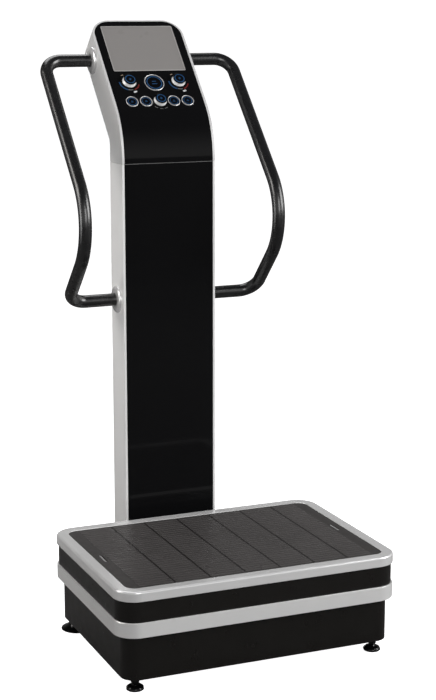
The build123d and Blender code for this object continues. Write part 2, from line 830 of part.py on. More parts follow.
with BuildPart() as column_shell:
    with BuildSketch(FLOOR.offset(column_bottom)):
        with Locations((0, column_mid)):
            Rectangle(column_width, column_depth)
    extrude(amount=seam_height - column_bottom)
    fillet(column_shell.edges().filter_by(Axis.Z).group_by(Axis.Y)[-1], rear_edge_round)
    fillet(column_shell.edges().filter_by(Axis.Z).group_by(Axis.Y)[0], column_front_round)
    with BuildSketch(FLOOR.offset(column_bottom)):
        with Locations((0, (column_front + inner_front + column_rear - column_wall) / 2)):
            Rectangle(column_width - 2 * column_wall, column_depth - column_wall - inner_front)
        with Locations((0, column_front + inner_front / 2)):
            Rectangle(2 * shoulder_half, inner_front)
        with Locations((0, column_front + panel_thickness / 2)):
            Rectangle(2 * panel_half, panel_thickness)
    extrude(amount=seam_height - column_bottom, mode=Mode.SUBTRACT)
save(column_shell, "column_shell")

with BuildPart() as column_panel:
    with BuildSketch(FLOOR.offset(column_bottom)):
        with Locations((0, column_front + panel_thickness / 2)):
            Rectangle(2 * panel_half - slip, panel_thickness)
    extrude(amount=seam_height - column_bottom)
save(column_panel, "column_panel")

# mast: a rectangular tube with two slanted cheeks that carry the head's cross bar
cheek_thickness = 5.0
cheek_half = 22.0
cheek_inset = 4.0
cheek_foot = mast_top - 120.0
cheek_front = mast_top - 40.0
cheek_rear = mast_top - 20.0
mast_end = mast_top - 60.0
with BuildPart() as column_mast:
    with BuildSketch(FLOOR.offset(chassis_top + mount_thickness)):
        with Locations((0, column_mid)):
            Rectangle(mast_width, mast_depth)
            Rectangle(mast_width - 2 * mast_wall, mast_depth - 2 * mast_wall, mode=Mode.SUBTRACT)
    extrude(amount=mast_end - chassis_top - mount_thickness)
    for side in (-1, 1):
        with BuildSketch(side_plane(side * (mast_width / 2 - cheek_thickness / 2) - cheek_thickness / 2)):
            with BuildLine():
                Polyline(
                    (column_mid - mast_depth / 2 + cheek_inset, cheek_foot),
                    (column_mid + mast_depth / 2 - cheek_inset, cheek_foot),
                    (column_mid + mast_depth / 2 - cheek_inset, cheek_rear),
                    (upper_mount_y + cheek_half * cos(lean), upper_mount_z - cheek_half * sin(lean)),
                    (upper_mount_y + cheek_half * sin(lean), upper_mount_z + cheek_half * cos(lean)),
                    (upper_mount_y - cheek_half * cos(lean), upper_mount_z + cheek_half * sin(lean)),
                    (column_mid - mast_depth / 2 + cheek_inset, cheek_front),
                    close=True,
                )
            make_face()
        extrude(amount=cheek_thickness)
    for bar_y, bar_z in ((column_mid, lower_mount_height), (upper_mount_y, upper_mount_z)):
        with BuildSketch(side_plane(-mast_width)):
            with Locations((bar_y, bar_z)):
                Circle(cross_bar_radius)
        extrude(amount=2 * mast_width, mode=Mode.SUBTRACT)
save(column_mast, "column_mast")

# cross bars tie the mast to the handlebars through both side walls
bar_wall = 3.0
bar_disc = 5.0
bar_disc_inset = 8.0
bar_half = column_width / 2 - column_wall
tube_mounts = (("lower", column_mid, lower_mount_height), ("upper", upper_mount_y, upper_mount_z))
for level, bar_y, bar_z in tube_mounts:
    with BuildPart() as cross_bar:
        with BuildSketch(side_plane(-bar_half)):
            with Locations((bar_y, bar_z)):
                Circle(cross_bar_radius)
                Circle(cross_bar_radius - bar_wall, mode=Mode.SUBTRACT)
        extrude(amount=2 * bar_half)
        for end_x, thickness in ((-bar_half, bar_disc), (bar_half, -bar_disc)):
            with BuildSketch(side_plane(end_x)):
                with Locations((bar_y, bar_z)):
                    Circle(flange_radius - bar_disc_inset)
            extrude(amount=thickness)
    save(cross_bar, f"{level}_cross_bar")


# ---------------------------------------------------------------- head
def head_outline(front_inset, rear_inset, end_inset, bottom):
    """The head's side outline, drawn inwards of its front, rear and end faces by the insets."""
    rear_y = column_rear - rear_inset
    rear_radius = head_rear_bend + rear_inset
    depth = head_thickness - front_inset - rear_inset
    from_face = head_thickness - rear_inset
    meet = (rear_y - face_y - from_face * cos(lean)) / sin(lean)
    meet_z = face_z - from_face * sin(lean) + meet * cos(lean)
    tangent = rear_radius * tan(lean / 2)
    up = Line((column_front + front_inset, bottom), (column_front + front_inset, bend_start))
    bend = JernArc(up @ 1, (0, 1), head_bend - front_inset, -head_lean)
    reach = head_reach - end_inset
    face = Line(bend @ 1, bend @ 1 + Vector(reach * sin(lean), reach * cos(lean)))
    end = Line(face @ 1, face @ 1 + Vector(depth * cos(lean), -depth * sin(lean)))
    rear_start = Vector(rear_y + tangent * sin(lean), meet_z + tangent * cos(lean))
    Line(end @ 1, rear_start)
    rear_bend = JernArc(rear_start, (-sin(lean), -cos(lean)), rear_radius, head_lean)
    last = Line(rear_bend @ 1, (rear_y, bottom))
    Line(last @ 1, up @ 0)


def front_strip(near, far, reach, bottom):
    """A layer of the head's front between two depths, from the seam up the face."""
    up = Line((column_front + near, bottom), (column_front + near, bend_start))
    bend = JernArc(up @ 1, (0, 1), head_bend - near, -head_lean)
    face = Line(bend @ 1, bend @ 1 + Vector(reach * sin(lean), reach * cos(lean)))
    end = Line(face @ 1, face @ 1 + Vector((far - near) * cos(lean), -(far - near) * sin(lean)))
    down = Line(end @ 1, end @ 1 - Vector(reach * sin(lean), reach * cos(lean)))
    back = JernArc(down @ 1, (-sin(lean), -cos(lean)), head_bend - far, head_lean)
    last = Line(back @ 1, (column_front + far, bottom))
    Line(last @ 1, up @ 0)


across_face = Axis((0, 0, 0), face_out)


def head_blank(front_inset, rear_inset, side_inset, end_inset, corner, bottom):
    """A solid head shape with its two upper corners rounded in the plane of the face."""
    with BuildPart(mode=Mode.PRIVATE) as blank:
        with BuildSketch(side_plane()):
            with BuildLine():
                head_outline(front_inset, rear_inset, end_inset, bottom)
            make_face()
        extrude(amount=column_width / 2 - side_inset, both=True)
        fillet(blank.edges().filter_by(across_face).group_by(Axis.Z)[-1], corner)
    return blank


def panel_blank(near, far, half, reach, corner, bottom):
    """A layer of the head's front with rounded upper corners."""
    with BuildPart(mode=Mode.PRIVATE) as blank:
        with BuildSketch(side_plane()):
            with BuildLine():
                front_strip(near, far, reach, bottom)
            make_face()
        extrude(amount=half, both=True)
        fillet(blank.edges().filter_by(across_face).group_by(Axis.Z)[-1], corner)
    return blank


head_bottom = seam_height + seam_gap
panel_corner = head_corner - head_border
cavity_corner = head_corner - column_wall
shoulder_reach = panel_reach - panel_shoulder
shoulder_corner = panel_corner - panel_shoulder
cavity = head_blank(inner_front, column_wall, column_wall, column_wall, cavity_corner, head_bottom)
recess = panel_blank(0.0, panel_thickness, panel_half, panel_reach, panel_corner, head_bottom)
window = panel_blank(0.0, inner_front, shoulder_half, shoulder_reach, shoulder_corner, head_bottom)
with BuildPart() as head_shell:
    add(head_blank(0.0, 0.0, 0.0, 0.0, head_corner, head_bottom).part)
    rear_faces = head_shell.faces().filter_by(lambda f: f.normal_at().Y > 0.5 and f.normal_at().Z < 0.01)
    across = rear_faces.edges().filter_by(Axis.X).sort_by(Axis.Z)
    fillet(rear_faces.edges().filter_by(Axis.X, reverse=True) + across[-1:], rear_edge_round)
    add(cavity.part, mode=Mode.SUBTRACT)
    add(recess.part, mode=Mode.SUBTRACT)
    add(window.part, mode=Mode.SUBTRACT)
save(head_shell, "head_shell")

# ---------------------------------------------------------------- console
panel_seat = slip / 2
panel_sheet = panel_blank(
    0.0, panel_thickness, panel_half - panel_seat, panel_reach - panel_seat, panel_corner, head_bottom
)
with BuildPart() as head_panel:
    add(panel_sheet.part)
    with BuildSketch(FACE):
        with Locations((0, screen_reach)):
            RectangleRounded(screen_width, screen_height, screen_corner)
        with Locations((0, start_reach)):
            Circle(start_ring_radius - ring_step + slip / 2)
        with Locations(*[(x, key_row_reach) for x in key_xs]):
            Circle(key_ring_radius - ring_step + slip / 2)
        with Locations((-dial_x, dial_reach), (dial_x, dial_reach), (0, key_row_reach)):
            Circle(dial_shaft_radius + shaft_play)
    extrude(amount=-2 * panel_thickness, mode=Mode.SUBTRACT)
save(head_panel, "head_panel")

with BuildPart() as screen_bezel:
    with BuildSketch(FACE.offset(-panel_thickness)):
        with Locations((0, screen_reach)):
            RectangleRounded(screen_width - slip, screen_height - slip, screen_corner)
            RectangleRounded(
                screen_width - 2 * screen_frame, screen_height - 2 * screen_frame, glass_corner,
                mode=Mode.SUBTRACT,
            )
    extrude(amount=panel_thickness)
save(screen_bezel, "screen_bezel")

glass_width = screen_width - 2 * screen_frame - slip
glass_height = screen_height - 2 * screen_frame - slip
tray_overlap = 3.0
tray_inset = 5.0
tray_corner = 12.0
neck_inset = 10.0
with BuildPart() as screen:
    with BuildSketch(FACE.offset(-glass_recess)):
        with Locations((0, screen_reach)):
            RectangleRounded(glass_width, glass_height, glass_corner)
    extrude(amount=glass_recess - panel_thickness)
    with BuildSketch(FACE.offset(-panel_thickness - slip / 2)):
        with Locations((0, screen_reach)):
            RectangleRounded(screen_width + 2 * tray_overlap, screen_height - 2 * tray_inset, tray_corner)
    extrude(amount=-screen_depth)
    with BuildSketch(FACE.offset(-panel_thickness)):
        with Locations((0, screen_reach)):
            Rectangle(screen_width - 2 * neck_inset, screen_height - 2 * neck_inset)
    extrude(amount=-slip)
save(screen, "screen")


def ring(centre, radius):
    """A raised trim ring with a neck that passes through the panel and guides its key."""
    with BuildPart(mode=Mode.PRIVATE) as trim:
        with BuildSketch(FACE):
            with Locations(centre):
                Circle(radius)
                Circle(radius - ring_wall, mode=Mode.SUBTRACT)
        extrude(amount=ring_height)
        fillet(trim.edges().sort_by(Axis(FACE.origin, face_out))[-2:], ring_wall / 3)
        with BuildSketch(FACE):
            with Locations(centre):
                Circle(radius - ring_step)
                Circle(radius - ring_wall, mode=Mode.SUBTRACT)
        extrude(amount=-neck_length)
    return trim


start_ring = ring((0, start_reach), start_ring_radius)
save(start_ring, "start_ring")

with BuildPart() as key_rings:
    for key_x in key_xs:
        add(ring((key_x, key_row_reach), key_ring_radius).part)
save(key_rings, "key_rings")


def key(centre, radius):
    """A round push key: a cap in its ring and a flange behind the ring's neck."""
    with BuildPart() as cap:
        with BuildSketch(FACE.offset(-neck_length - slip)):
            with Locations(centre):
                Circle(radius - ring_wall - sliding)
        extrude(amount=neck_length + slip + ring_height - key_recess)
        fillet(cap.edges().sort_by(Axis(FACE.origin, face_out))[-1], key_edge)
        with BuildSketch(FACE.offset(-neck_length - slip)):
            with Locations(centre):
                Circle(radius - ring_step)
        extrude(amount=-key_flange)
        with BuildSketch(FACE.offset(-neck_length - slip - key_flange)):
            with Locations(centre):
                Circle(stem_radius)
        stem_end = board_depth - switch_height - key_travel - slip
        extrude(amount=-(stem_end - neck_length - slip - key_flange))
    return cap


start_key = key((0, start_reach), start_ring_radius)
save(start_key, "start_key")
for number, key_x in enumerate(key_xs, start=1):
    save(key((key_x, key_row_reach), key_ring_radius), f"key_{number}")


def dial(centre, radius):
    """A tapered turning dial on a shaft that reaches its encoder behind the panel."""
    with BuildPart() as knob:
        with BuildSketch(FACE.offset(slip)):
            with Locations(centre):
                Circle(radius)
        with BuildSketch(FACE.offset(slip + dial_height)):
            with Locations(centre):
                Circle(dial_top_radius * radius / dial_radius)
        loft()
        fillet(knob.edges().sort_by(Axis(FACE.origin, face_out))[-1], dial_edge)
        with BuildSketch(FACE.offset(slip)):
            with Locations(centre):
                Circle(dial_shaft_radius)
        extrude(amount=-board_depth + shaft_end_gap)
    return knob


save(dial((-dial_x, dial_reach), dial_radius), "left_dial")
save(dial((dial_x, dial_reach), dial_radius), "right_dial")
save(dial((0, key_row_reach), lower_dial_radius), "lower_dial")

# circuit board on four pillars, with an encoder for each dial and a switch under each key
pcb_width = 196.0
pcb_height = 96.0
pcb_reach = 45.0
encoder_size = 13.0
encoder_height = 6.5
encoder_floor = 1.0
pillar_radius = 3.0
pillar_inset = 6.0
switch_side = 6.0
encoders = [(-dial_x, dial_reach), (dial_x, dial_reach), (0, key_row_reach)]
switches = [(0, start_reach)] + [(x, key_row_reach) for x in key_xs]
with BuildPart() as console_board:
    with BuildSketch(FACE.offset(-board_depth)):
        with Locations((0, pcb_reach)):
            Rectangle(pcb_width, pcb_height)
    extrude(amount=-pcb_thickness)
    with BuildSketch(FACE.offset(-board_depth)):
        with Locations((0, pcb_reach)):
            with GridLocations(pcb_width - 2 * pillar_inset, pcb_height - 2 * pillar_inset, 2, 2):
                Circle(pillar_radius)
    extrude(amount=board_gap)
    with BuildSketch(FACE.offset(-board_depth)):
        with Locations(*encoders):
            Rectangle(encoder_size, encoder_size)
    extrude(amount=encoder_height)
    with BuildSketch(FACE.offset(-board_depth)):
        with Locations(*switches):
            Rectangle(switch_side, switch_side)
    extrude(amount=switch_height)
    with BuildSketch(FACE.offset(-board_depth + encoder_floor)):
        with Locations(*encoders):
            Circle(dial_shaft_radius + running)
    extrude(amount=encoder_height, mode=Mode.SUBTRACT)
save(console_board, "console_board")

# ---------------------------------------------------------------- handlebars
tube_start = column_width / 2
for side_name, side in (("left", -1), ("right", 1)):
    route = [
        (side * tube_start, deck_y + upper_mount_y, upper_mount_z),
        (side * handle_spread, deck_y + upper_mount_y, upper_mount_z),
        (side * handle_spread, deck_y + column_front - grip_lead, grip_height),
        (side * handle_spread, deck_y + column_mid, lower_mount_height),
        (side * tube_start, deck_y + column_mid, lower_mount_height),
    ]
    with BuildPart() as handlebar:
        with BuildLine() as handle_path:
            FilletPolyline(*route, radius=[handle_bend, grip_bend, handle_bend])
        with BuildSketch(Plane(origin=route[0], z_dir=(side, 0, 0))):
            Circle(tube_radius)
            Circle(tube_radius - tube_wall, mode=Mode.SUBTRACT)
        sweep(path=handle_path.line)
    save(handlebar, f"{side_name}_handlebar")

    for level, mount_y, mount_z in tube_mounts:
        with BuildPart() as flange:
            with BuildSketch(side_plane(side * tube_start)):
                with Locations((mount_y, mount_z)):
                    Circle(flange_radius)
            extrude(amount=side * flange_thickness)
            fillet(flange.edges().group_by(Axis.X)[-1 if side > 0 else 0], flange_round)
            with BuildSketch(side_plane(side * tube_start)):
                with Locations((mount_y, mount_z)):
                    Circle(tube_radius)
            extrude(amount=side * flange_thickness, mode=Mode.SUBTRACT)
        save(flange, f"{side_name}_{level}_flange")
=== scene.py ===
import json
import logging
import math
from dataclasses import dataclass
from enum import Enum

import bmesh
import bpy
from mathutils import Matrix, Vector


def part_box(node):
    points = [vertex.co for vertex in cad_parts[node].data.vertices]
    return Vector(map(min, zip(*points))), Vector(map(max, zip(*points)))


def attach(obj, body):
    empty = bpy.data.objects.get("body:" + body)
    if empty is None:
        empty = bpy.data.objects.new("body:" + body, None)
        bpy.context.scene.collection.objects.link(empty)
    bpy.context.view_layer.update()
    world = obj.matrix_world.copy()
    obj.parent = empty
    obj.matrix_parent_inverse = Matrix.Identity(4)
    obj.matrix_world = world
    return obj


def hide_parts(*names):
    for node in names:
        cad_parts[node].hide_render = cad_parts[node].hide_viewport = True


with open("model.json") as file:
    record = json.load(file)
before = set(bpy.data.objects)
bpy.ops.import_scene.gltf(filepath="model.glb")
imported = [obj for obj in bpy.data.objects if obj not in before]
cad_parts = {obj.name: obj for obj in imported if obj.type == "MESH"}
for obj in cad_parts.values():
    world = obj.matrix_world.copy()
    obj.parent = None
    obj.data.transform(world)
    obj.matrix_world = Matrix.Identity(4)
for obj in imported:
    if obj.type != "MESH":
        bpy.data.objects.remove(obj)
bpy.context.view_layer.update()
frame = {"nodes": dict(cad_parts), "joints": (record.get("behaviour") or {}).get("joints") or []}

log = logging.getLogger("vibration_plate")
MM = 0.001
MERGE = 1e-6
POLE_MERGE = 1e-7
NEAR = 0.1 * MM
CREASE = 32.0
FLAT_ANGLE = 0.5
LEVEL = 1e-3
COAT_ROUGHNESS = 0.06
GLOSS_RANGE = (0.3, 0.7)
SMUDGE_SCALE = 2.7
PATCH_DETAIL, SMUDGE_DETAIL, GRAIN_DETAIL = 4.0, 6.0, 3.0
NODES = frame["nodes"]
JOINTS = {joint["name"]: joint for joint in frame["joints"]}
FULL_TURN = 2 * math.pi


# ---------------------------------------------------------------- finishes
class Sheen(Enum):
    """How a surface throws light back."""

    METAL = 1.0
    METALLIC_PAINT = 0.6
    SATIN_SILVER = 0.42
    PEARL = 0.2
    PAINTED = 0.0


@dataclass(frozen=True)
class Finish:
    """A surface: its colour, gloss and fine grain, patterned in the piece's own space.

    Args:
        name: The material's name.
        colour: Linear colour of the surface.
        rough: Mean roughness.
        sheen: Metal or painted.
        rough_spread: How far the roughness wanders each way.
        colour_spread: Share by which the colour wanders each way.
        mottle: Patches per metre in colour and roughness.
        grain: Grains per metre in the bump.
        bump: Strength of the bump.
        depth: Height of the bump in metres.
        specular: Specular level of a painted surface.
        coat: Weight of a clear coat.
        glow: Strength of its own light.
        stretch: Scale of the grain along each axis, for a brushed look.
    """

    name: str
    colour: tuple[float, float, float]
    rough: float = 0.4
    sheen: Sheen = Sheen.PAINTED
    rough_spread: float = 0.05
    colour_spread: float = 0.08
    mottle: float = 14.0
    grain: float = 900.0
    bump: float = 0.15
    depth: float = 0.0003
    specular: float = 0.5
    coat: float = 0.0
    glow: float = 0.0
    stretch: tuple[float, float, float] = (1.0, 1.0, 1.0)

    def material(self) -> bpy.types.Material:
        """Builds the node material, or returns it where it exists.

        Returns:
            The material of this finish.
        """
        own_name = f"{self.name}_finish"
        known = bpy.data.materials.get(own_name)
        if known:
            return known
        made = bpy.data.materials.new(own_name)
        made.use_nodes = True
        nodes, links = made.node_tree.nodes, made.node_tree.links
        shader = nodes["Principled BSDF"]
        shader.inputs["Metallic"].default_value = self.sheen.value
        shader.inputs["Specular IOR Level"].default_value = self.specular
        shader.inputs["Coat Weight"].default_value = self.coat
        shader.inputs["Coat Roughness"].default_value = COAT_ROUGHNESS
        if self.glow:
            shader.inputs["Emission Color"].default_value = (1.0, 1.0, 1.0, 1.0)
            shader.inputs["Emission Strength"].default_value = self.glow
        place = nodes.new("ShaderNodeTexCoord")
        turn = nodes.new("ShaderNodeMapping")
        turn.inputs["Scale"].default_value = self.stretch
        links.new(place.outputs["Object"], turn.inputs["Vector"])

        patches = self._noise(made, turn, self.mottle, PATCH_DETAIL)
        colours = nodes.new("ShaderNodeMix")
        colours.data_type = "RGBA"
        colours.inputs["A"].default_value = self._tint(1 - self.colour_spread)
        colours.inputs["B"].default_value = self._tint(1 + self.colour_spread)
        links.new(patches.outputs["Fac"], colours.inputs["Factor"])
        links.new(colours.outputs["Result"], shader.inputs["Base Color"])

        smudges = self._noise(made, turn, self.mottle * SMUDGE_SCALE, SMUDGE_DETAIL)
        gloss = nodes.new("ShaderNodeMapRange")
        gloss.inputs["From Min"].default_value, gloss.inputs["From Max"].default_value = GLOSS_RANGE
        gloss.inputs["To Min"].default_value = max(self.rough - self.rough_spread, 0.02)
        gloss.inputs["To Max"].default_value = self.rough + self.rough_spread
        links.new(smudges.outputs["Fac"], gloss.inputs["Value"])
        links.new(gloss.outputs["Result"], shader.inputs["Roughness"])

        if self.bump:
            grains = self._noise(made, turn, self.grain, GRAIN_DETAIL)
            relief = nodes.new("ShaderNodeBump")
            relief.inputs["Strength"].default_value = self.bump
            relief.inputs["Distance"].default_value = self.depth
            links.new(grains.outputs["Fac"], relief.inputs["Height"])
            links.new(relief.outputs["Normal"], shader.inputs["Normal"])
        return made

    def _tint(self, share: float) -> tuple[float, float, float, float]:
        """The colour made lighter or darker by a share."""
        return tuple(min(part * share, 1.0) for part in self.colour) + (1.0,)

    @staticmethod
    def _noise(
        made: bpy.types.Material, turn: bpy.types.Node, scale: float, detail: float
    ) -> bpy.types.Node:
        """Adds a noise texture that reads the turned object coordinates.

        Args:
            made: The material that takes it.
            turn: The node that gives the coordinates.
            scale: Patches per metre.
            detail: Its levels of detail.

        Returns:
            The texture node.
        """
        noise = made.node_tree.nodes.new("ShaderNodeTexNoise")
        noise.inputs["Scale"].default_value = scale
        noise.inputs["Detail"].default_value = detail
        made.node_tree.links.new(turn.outputs["Vector"], noise.inputs["Vector"])
        return noise


RIM_METAL = Finish("polished_rim", (0.86, 0.86, 0.86), 0.2, Sheen.SATIN_SILVER, 0.04, 0.04, bump=0.0)
SILVER = Finish("silver_paint", (0.88, 0.88, 0.875), 0.32, Sheen.SATIN_SILVER, 0.03, 0.03, bump=0.0)
COLUMN_SILVER = Finish("column_silver", (0.88, 0.88, 0.875), 0.32, Sheen.PEARL, 0.03, 0.03, bump=0.0)
# Black satin paint; its colour is tinted warm to stand for a painted warm reflection on its sides.
SATIN_BLACK_WARM_REFLECTION = Finish("satin_black_warm_reflection", (0.0055, 0.0048, 0.0041), 0.3, specular=0.42, rough_spread=0.03,
                     colour_spread=0.05, grain=1300, bump=0.12)
# The column's silver painted darker for the head: painted shade on the head's shell.
HEAD_SILVER_SHADE = Finish("head_silver_shade", (0.70, 0.70, 0.70), 0.32, Sheen.PEARL, 0.03, 0.03, bump=0.0)
GLOSS_BLACK = Finish("gloss_black", (0.0047, 0.0047, 0.0051), 0.07, specular=0.14,
                     rough_spread=0.03, bump=0.0)
MAT_RUBBER = Finish("mat_rubber", (0.066, 0.0615, 0.0605), 0.36, rough_spread=0.1, colour_spread=0.22,
                    mottle=7.0, grain=1600, bump=0.25, specular=0.24)
# Mat rubber painted darker to stand for the shade in the grooves between the ribs.
GROOVE_SHADE_RUBBER = Finish("groove_shade_rubber", (0.045, 0.042, 0.041), 0.4, grain=1600, bump=0.2, specular=0.22)
SEAM_RUBBER = Finish("seam_rubber", (0.017, 0.0155, 0.015), 0.4, grain=1600, bump=0.2, specular=0.2)
FOOT_RUBBER = Finish("foot_rubber", (0.0025, 0.0025, 0.0025), 0.13, specular=0.4, grain=700, bump=0.04)
TUBE_BLACK = Finish("tube_black", (0.007, 0.007, 0.0075), 0.27, specular=0.75, rough_spread=0.03,
                    bump=0.0)
DIAL_SILVER = Finish("dial_silver", (0.98, 0.98, 0.98), 0.22, Sheen.PEARL, 0.03, 0.02, bump=0.0)
COLLAR_SILVER = Finish("collar_silver", (0.84, 0.84, 0.84), 0.22, Sheen.METALLIC_PAINT, 0.04, 0.03,
                       bump=0.05)
CHROME = Finish("chrome_trim", (0.93, 0.93, 0.94), 0.13, Sheen.METALLIC_PAINT, 0.03, 0.02, bump=0.0)
KEY_BLACK = Finish("key_black", (0.0035, 0.0035, 0.004), 0.08, specular=0.18, bump=0.0)
SCREEN_GREY = Finish("screen_grey", (0.232, 0.222, 0.216), 0.32, specular=0.12, colour_spread=0.04,
                     mottle=5.0, bump=0.0)
SCREEN_EDGE = Finish("screen_edge", (0.36, 0.35, 0.34), 0.35, grain=900, bump=0.05)
SCALE_GREY = Finish("scale_grey", (0.16, 0.16, 0.16), 0.35, bump=0.0)
BLUE_PRINT = Finish("blue_print", (0.015, 0.060, 0.150), 0.3, specular=0.2, colour_spread=0.3,
                    mottle=160.0, bump=0.0)
RED_PRINT = Finish("red_print", (0.13, 0.014, 0.012), 0.35, specular=0.2, bump=0.0)
WHITE_PRINT = Finish("white_print", (0.62, 0.63, 0.64), 0.35, bump=0.0)
TAN_PRINT = Finish("tan_print", (0.22, 0.17, 0.12), 0.35, bump=0.0)
FRAME_BLACK = Finish("frame_black", (0.012, 0.012, 0.013), 0.45, grain=1000, bump=0.2)
BARE_STEEL = Finish("bare_steel", (0.52, 0.52, 0.51), 0.28, Sheen.METAL, grain=700, bump=0.1)
CAST_IRON = Finish("cast_iron", (0.16, 0.16, 0.165), 0.5, Sheen.METAL, grain=500, bump=0.4)
MOTOR_GREY = Finish("motor_grey", (0.06, 0.065, 0.07), 0.4, grain=600, bump=0.2)
BELT_BLACK = Finish("belt_black", (0.012, 0.012, 0.012), 0.6, grain=900, bump=0.2)
RAW_BOARD = Finish("raw_board", (0.34, 0.22, 0.12), 0.7, colour_spread=0.3, grain=250, bump=0.3,
                   stretch=(0.15, 1.0, 1.0))
CIRCUIT = Finish("circuit_green", (0.012, 0.11, 0.035), 0.3, grain=500, bump=0.1)
PALE_FLOOR = Finish("pale_floor", (0.86, 0.86, 0.86), 0.6, specular=0.1, colour_spread=0.004, mottle=2.0,
                    bump=0.0, glow=1.0)
BOUNCE_FLOOR = Finish("bounce_floor", (0.55, 0.545, 0.54), 0.7, specular=0.1, colour_spread=0.02,
                      mottle=2.0, bump=0.0)


# ---------------------------------------------------------------- mesh tools
@dataclass(frozen=True)
class Outline:
    """A rectangle with rounded corners, level with the floor.

    Args:
        low: Corner with the lowest x and y, in metres.
        high: Corner with the highest x and y, in metres.
        corner: Radius of its corners, in metres.
    """

    low: Vector
    high: Vector
    corner: float

    @classmethod
    def of_node(cls, node: str, corner: float) -> "Outline":
        """The outline of a CAD node, seen from above."""
        low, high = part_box(node)
        return cls(low.to_2d(), high.to_2d(), corner)

    def shrunk(self, by: float) -> "Outline":
        """The same outline, moved inwards all round."""
        edge = Vector((by, by))
        return Outline(self.low + edge, self.high - edge, self.corner - by)

    def loop(self, mesh: bmesh.types.BMesh, height: float, steps: int = 14) -> list[bmesh.types.BMEdge]:
        """Adds the outline to a mesh as a loop of edges.

        Args:
            mesh: The mesh that takes the loop.
            height: Height of the loop over the floor.
            steps: Edges round each corner.

        Returns:
            The edges of the loop.
        """
        made = bmesh.ops.create_grid(mesh, x_segments=1, y_segments=1, size=0.5)
        size, middle = self.high - self.low, (self.high + self.low) / 2
        bmesh.ops.scale(mesh, vec=(size.x, size.y, 1.0), verts=made["verts"])
        bmesh.ops.translate(mesh, vec=(middle.x, middle.y, height), verts=made["verts"])
        rounded = bmesh.ops.bevel(mesh, geom=made["verts"], offset=self.corner, affect="VERTICES",
                                  segments=steps, profile=0.5, material=-1)
        face = rounded["verts"][0].link_faces[0]
        edges = list(face.edges)
        bmesh.ops.delete(mesh, geom=[face], context="FACES_ONLY")
        return edges


def join_loops(mesh: bmesh.types.BMesh, this: list[bmesh.types.BMEdge],
               following: list[bmesh.types.BMEdge]) -> None:
    """Bridges two loops, held a metre apart meanwhile so that loops at one height pair up rightly.

    Args:
        mesh: The mesh that holds both loops.
        this: Edges of one loop.
        following: Edges of the other loop.
    """
    verts = list({vert for edge in following for vert in edge.verts})
    apart = Vector((0, 0, 1))
    bmesh.ops.translate(mesh, vec=apart, verts=verts)
    bmesh.ops.bridge_loops(mesh, edges=this + following)
    bmesh.ops.translate(mesh, vec=-apart, verts=verts)


def ring_wall(mesh: bmesh.types.BMesh, stations: list[tuple[Outline, float]]) -> None:
    """Joins outlines at their heights, one to the next and the last to the first.

    Args:
        mesh: The mesh that takes the wall.
        stations: Each outline with its height, in order round the wall's section.
    """
    loops = [outline.loop(mesh, height) for outline, height in stations]
    for this, following in zip(loops, loops[1:] + loops[:1]):
        join_loops(mesh, this, following)


def plate_wall(mesh: bmesh.types.BMesh, stations: list[tuple[Outline, float]]) -> None:
    """Joins outlines at their heights and closes the first and the last with a face.

    Args:
        mesh: The mesh that takes the plate.
        stations: Each outline with its height, from one end to the other.
    """
    loops = [outline.loop(mesh, height) for outline, height in stations]
    for this, following in zip(loops, loops[1:]):
        join_loops(mesh, this, following)
    for end in (loops[0], loops[-1]):
        bmesh.ops.edgeloop_fill(mesh, edges=end)


def lathe(mesh: bmesh.types.BMesh, profile: list[tuple[float, float]], steps: int = 56) -> None:
    """Turns a profile of radius and height about Z into a closed solid.

    Args:
        mesh: The mesh that takes the solid.
        profile: Points of radius and height, in order; the last joins the first.
        steps: Faces round the turn.
    """
    corners = [mesh.verts.new((radius, 0.0, height)) for radius, height in profile]
    edges = [mesh.edges.new(pair) for pair in zip(corners, corners[1:] + corners[:1])
             if pair[0].co.x + pair[1].co.x > 0]
    bmesh.ops.spin(mesh, geom=corners + edges, cent=(0, 0, 0), axis=(0, 0, 1), angle=FULL_TURN,
                   steps=steps, use_merge=True)
    bmesh.ops.remove_doubles(mesh, verts=mesh.verts, dist=POLE_MERGE)


def block(mesh: bmesh.types.BMesh, low: Vector, high: Vector) -> list[bmesh.types.BMVert]:
    """Adds a box between two corners.

    Args:
        mesh: The mesh that takes the box.
        low: Its lowest corner.
        high: Its highest corner.

    Returns:
        The box's vertices.
    """
    made = bmesh.ops.create_cube(mesh, size=1.0)
    bmesh.ops.scale(mesh, vec=high - low, verts=made["verts"])
    bmesh.ops.translate(mesh, vec=(low + high) / 2, verts=made["verts"])
    return made["verts"]


@dataclass
class Pen:
    """Draws a wire of straight lines and true arcs in a mesh.

    Args:
        mesh: The mesh that takes the wire.
        tip: The vertex at the wire's end.
    """

    mesh: bmesh.types.BMesh
    tip: bmesh.types.BMVert

    def line(self, to: Vector) -> None:
        """Draws a straight line.

        Args:
            to: The point that it ends at.
        """
        made = bmesh.ops.extrude_vert_indiv(self.mesh, verts=[self.tip])
        self.tip = made["verts"][0]
        self.tip.co = to

    def arc(self, centre: Vector, axis: Vector, angle: float, steps: int) -> None:
        """Draws an arc.

        Args:
            centre: A point on the arc's axis.
            axis: Direction of the axis.
            angle: How far the arc turns, in radians.
            steps: Its straight edges.
        """
        made = bmesh.ops.spin(self.mesh, geom=[self.tip], cent=centre, axis=axis, angle=angle, steps=steps)
        self.tip = next(item for item in made["geom_last"] if isinstance(item, bmesh.types.BMVert))

    def fill(self) -> bmesh.types.BMFace:
        """Closes the wire at its start and fills it.

        Returns:
            The one face that fills it.
        """
        bmesh.ops.remove_doubles(self.mesh, verts=self.mesh.verts, dist=MERGE)
        filled = bmesh.ops.edgeloop_fill(self.mesh, edges=self.mesh.edges)
        return filled["faces"][0]


def sharp_edges(mesh: bmesh.types.BMesh, least: float) -> list[bmesh.types.BMEdge]:
    """The edges whose faces meet at more than an angle, in degrees."""
    return [edge for edge in mesh.edges
            if len(edge.link_faces) == 2 and edge.calc_face_angle(0.0) > math.radians(least)]


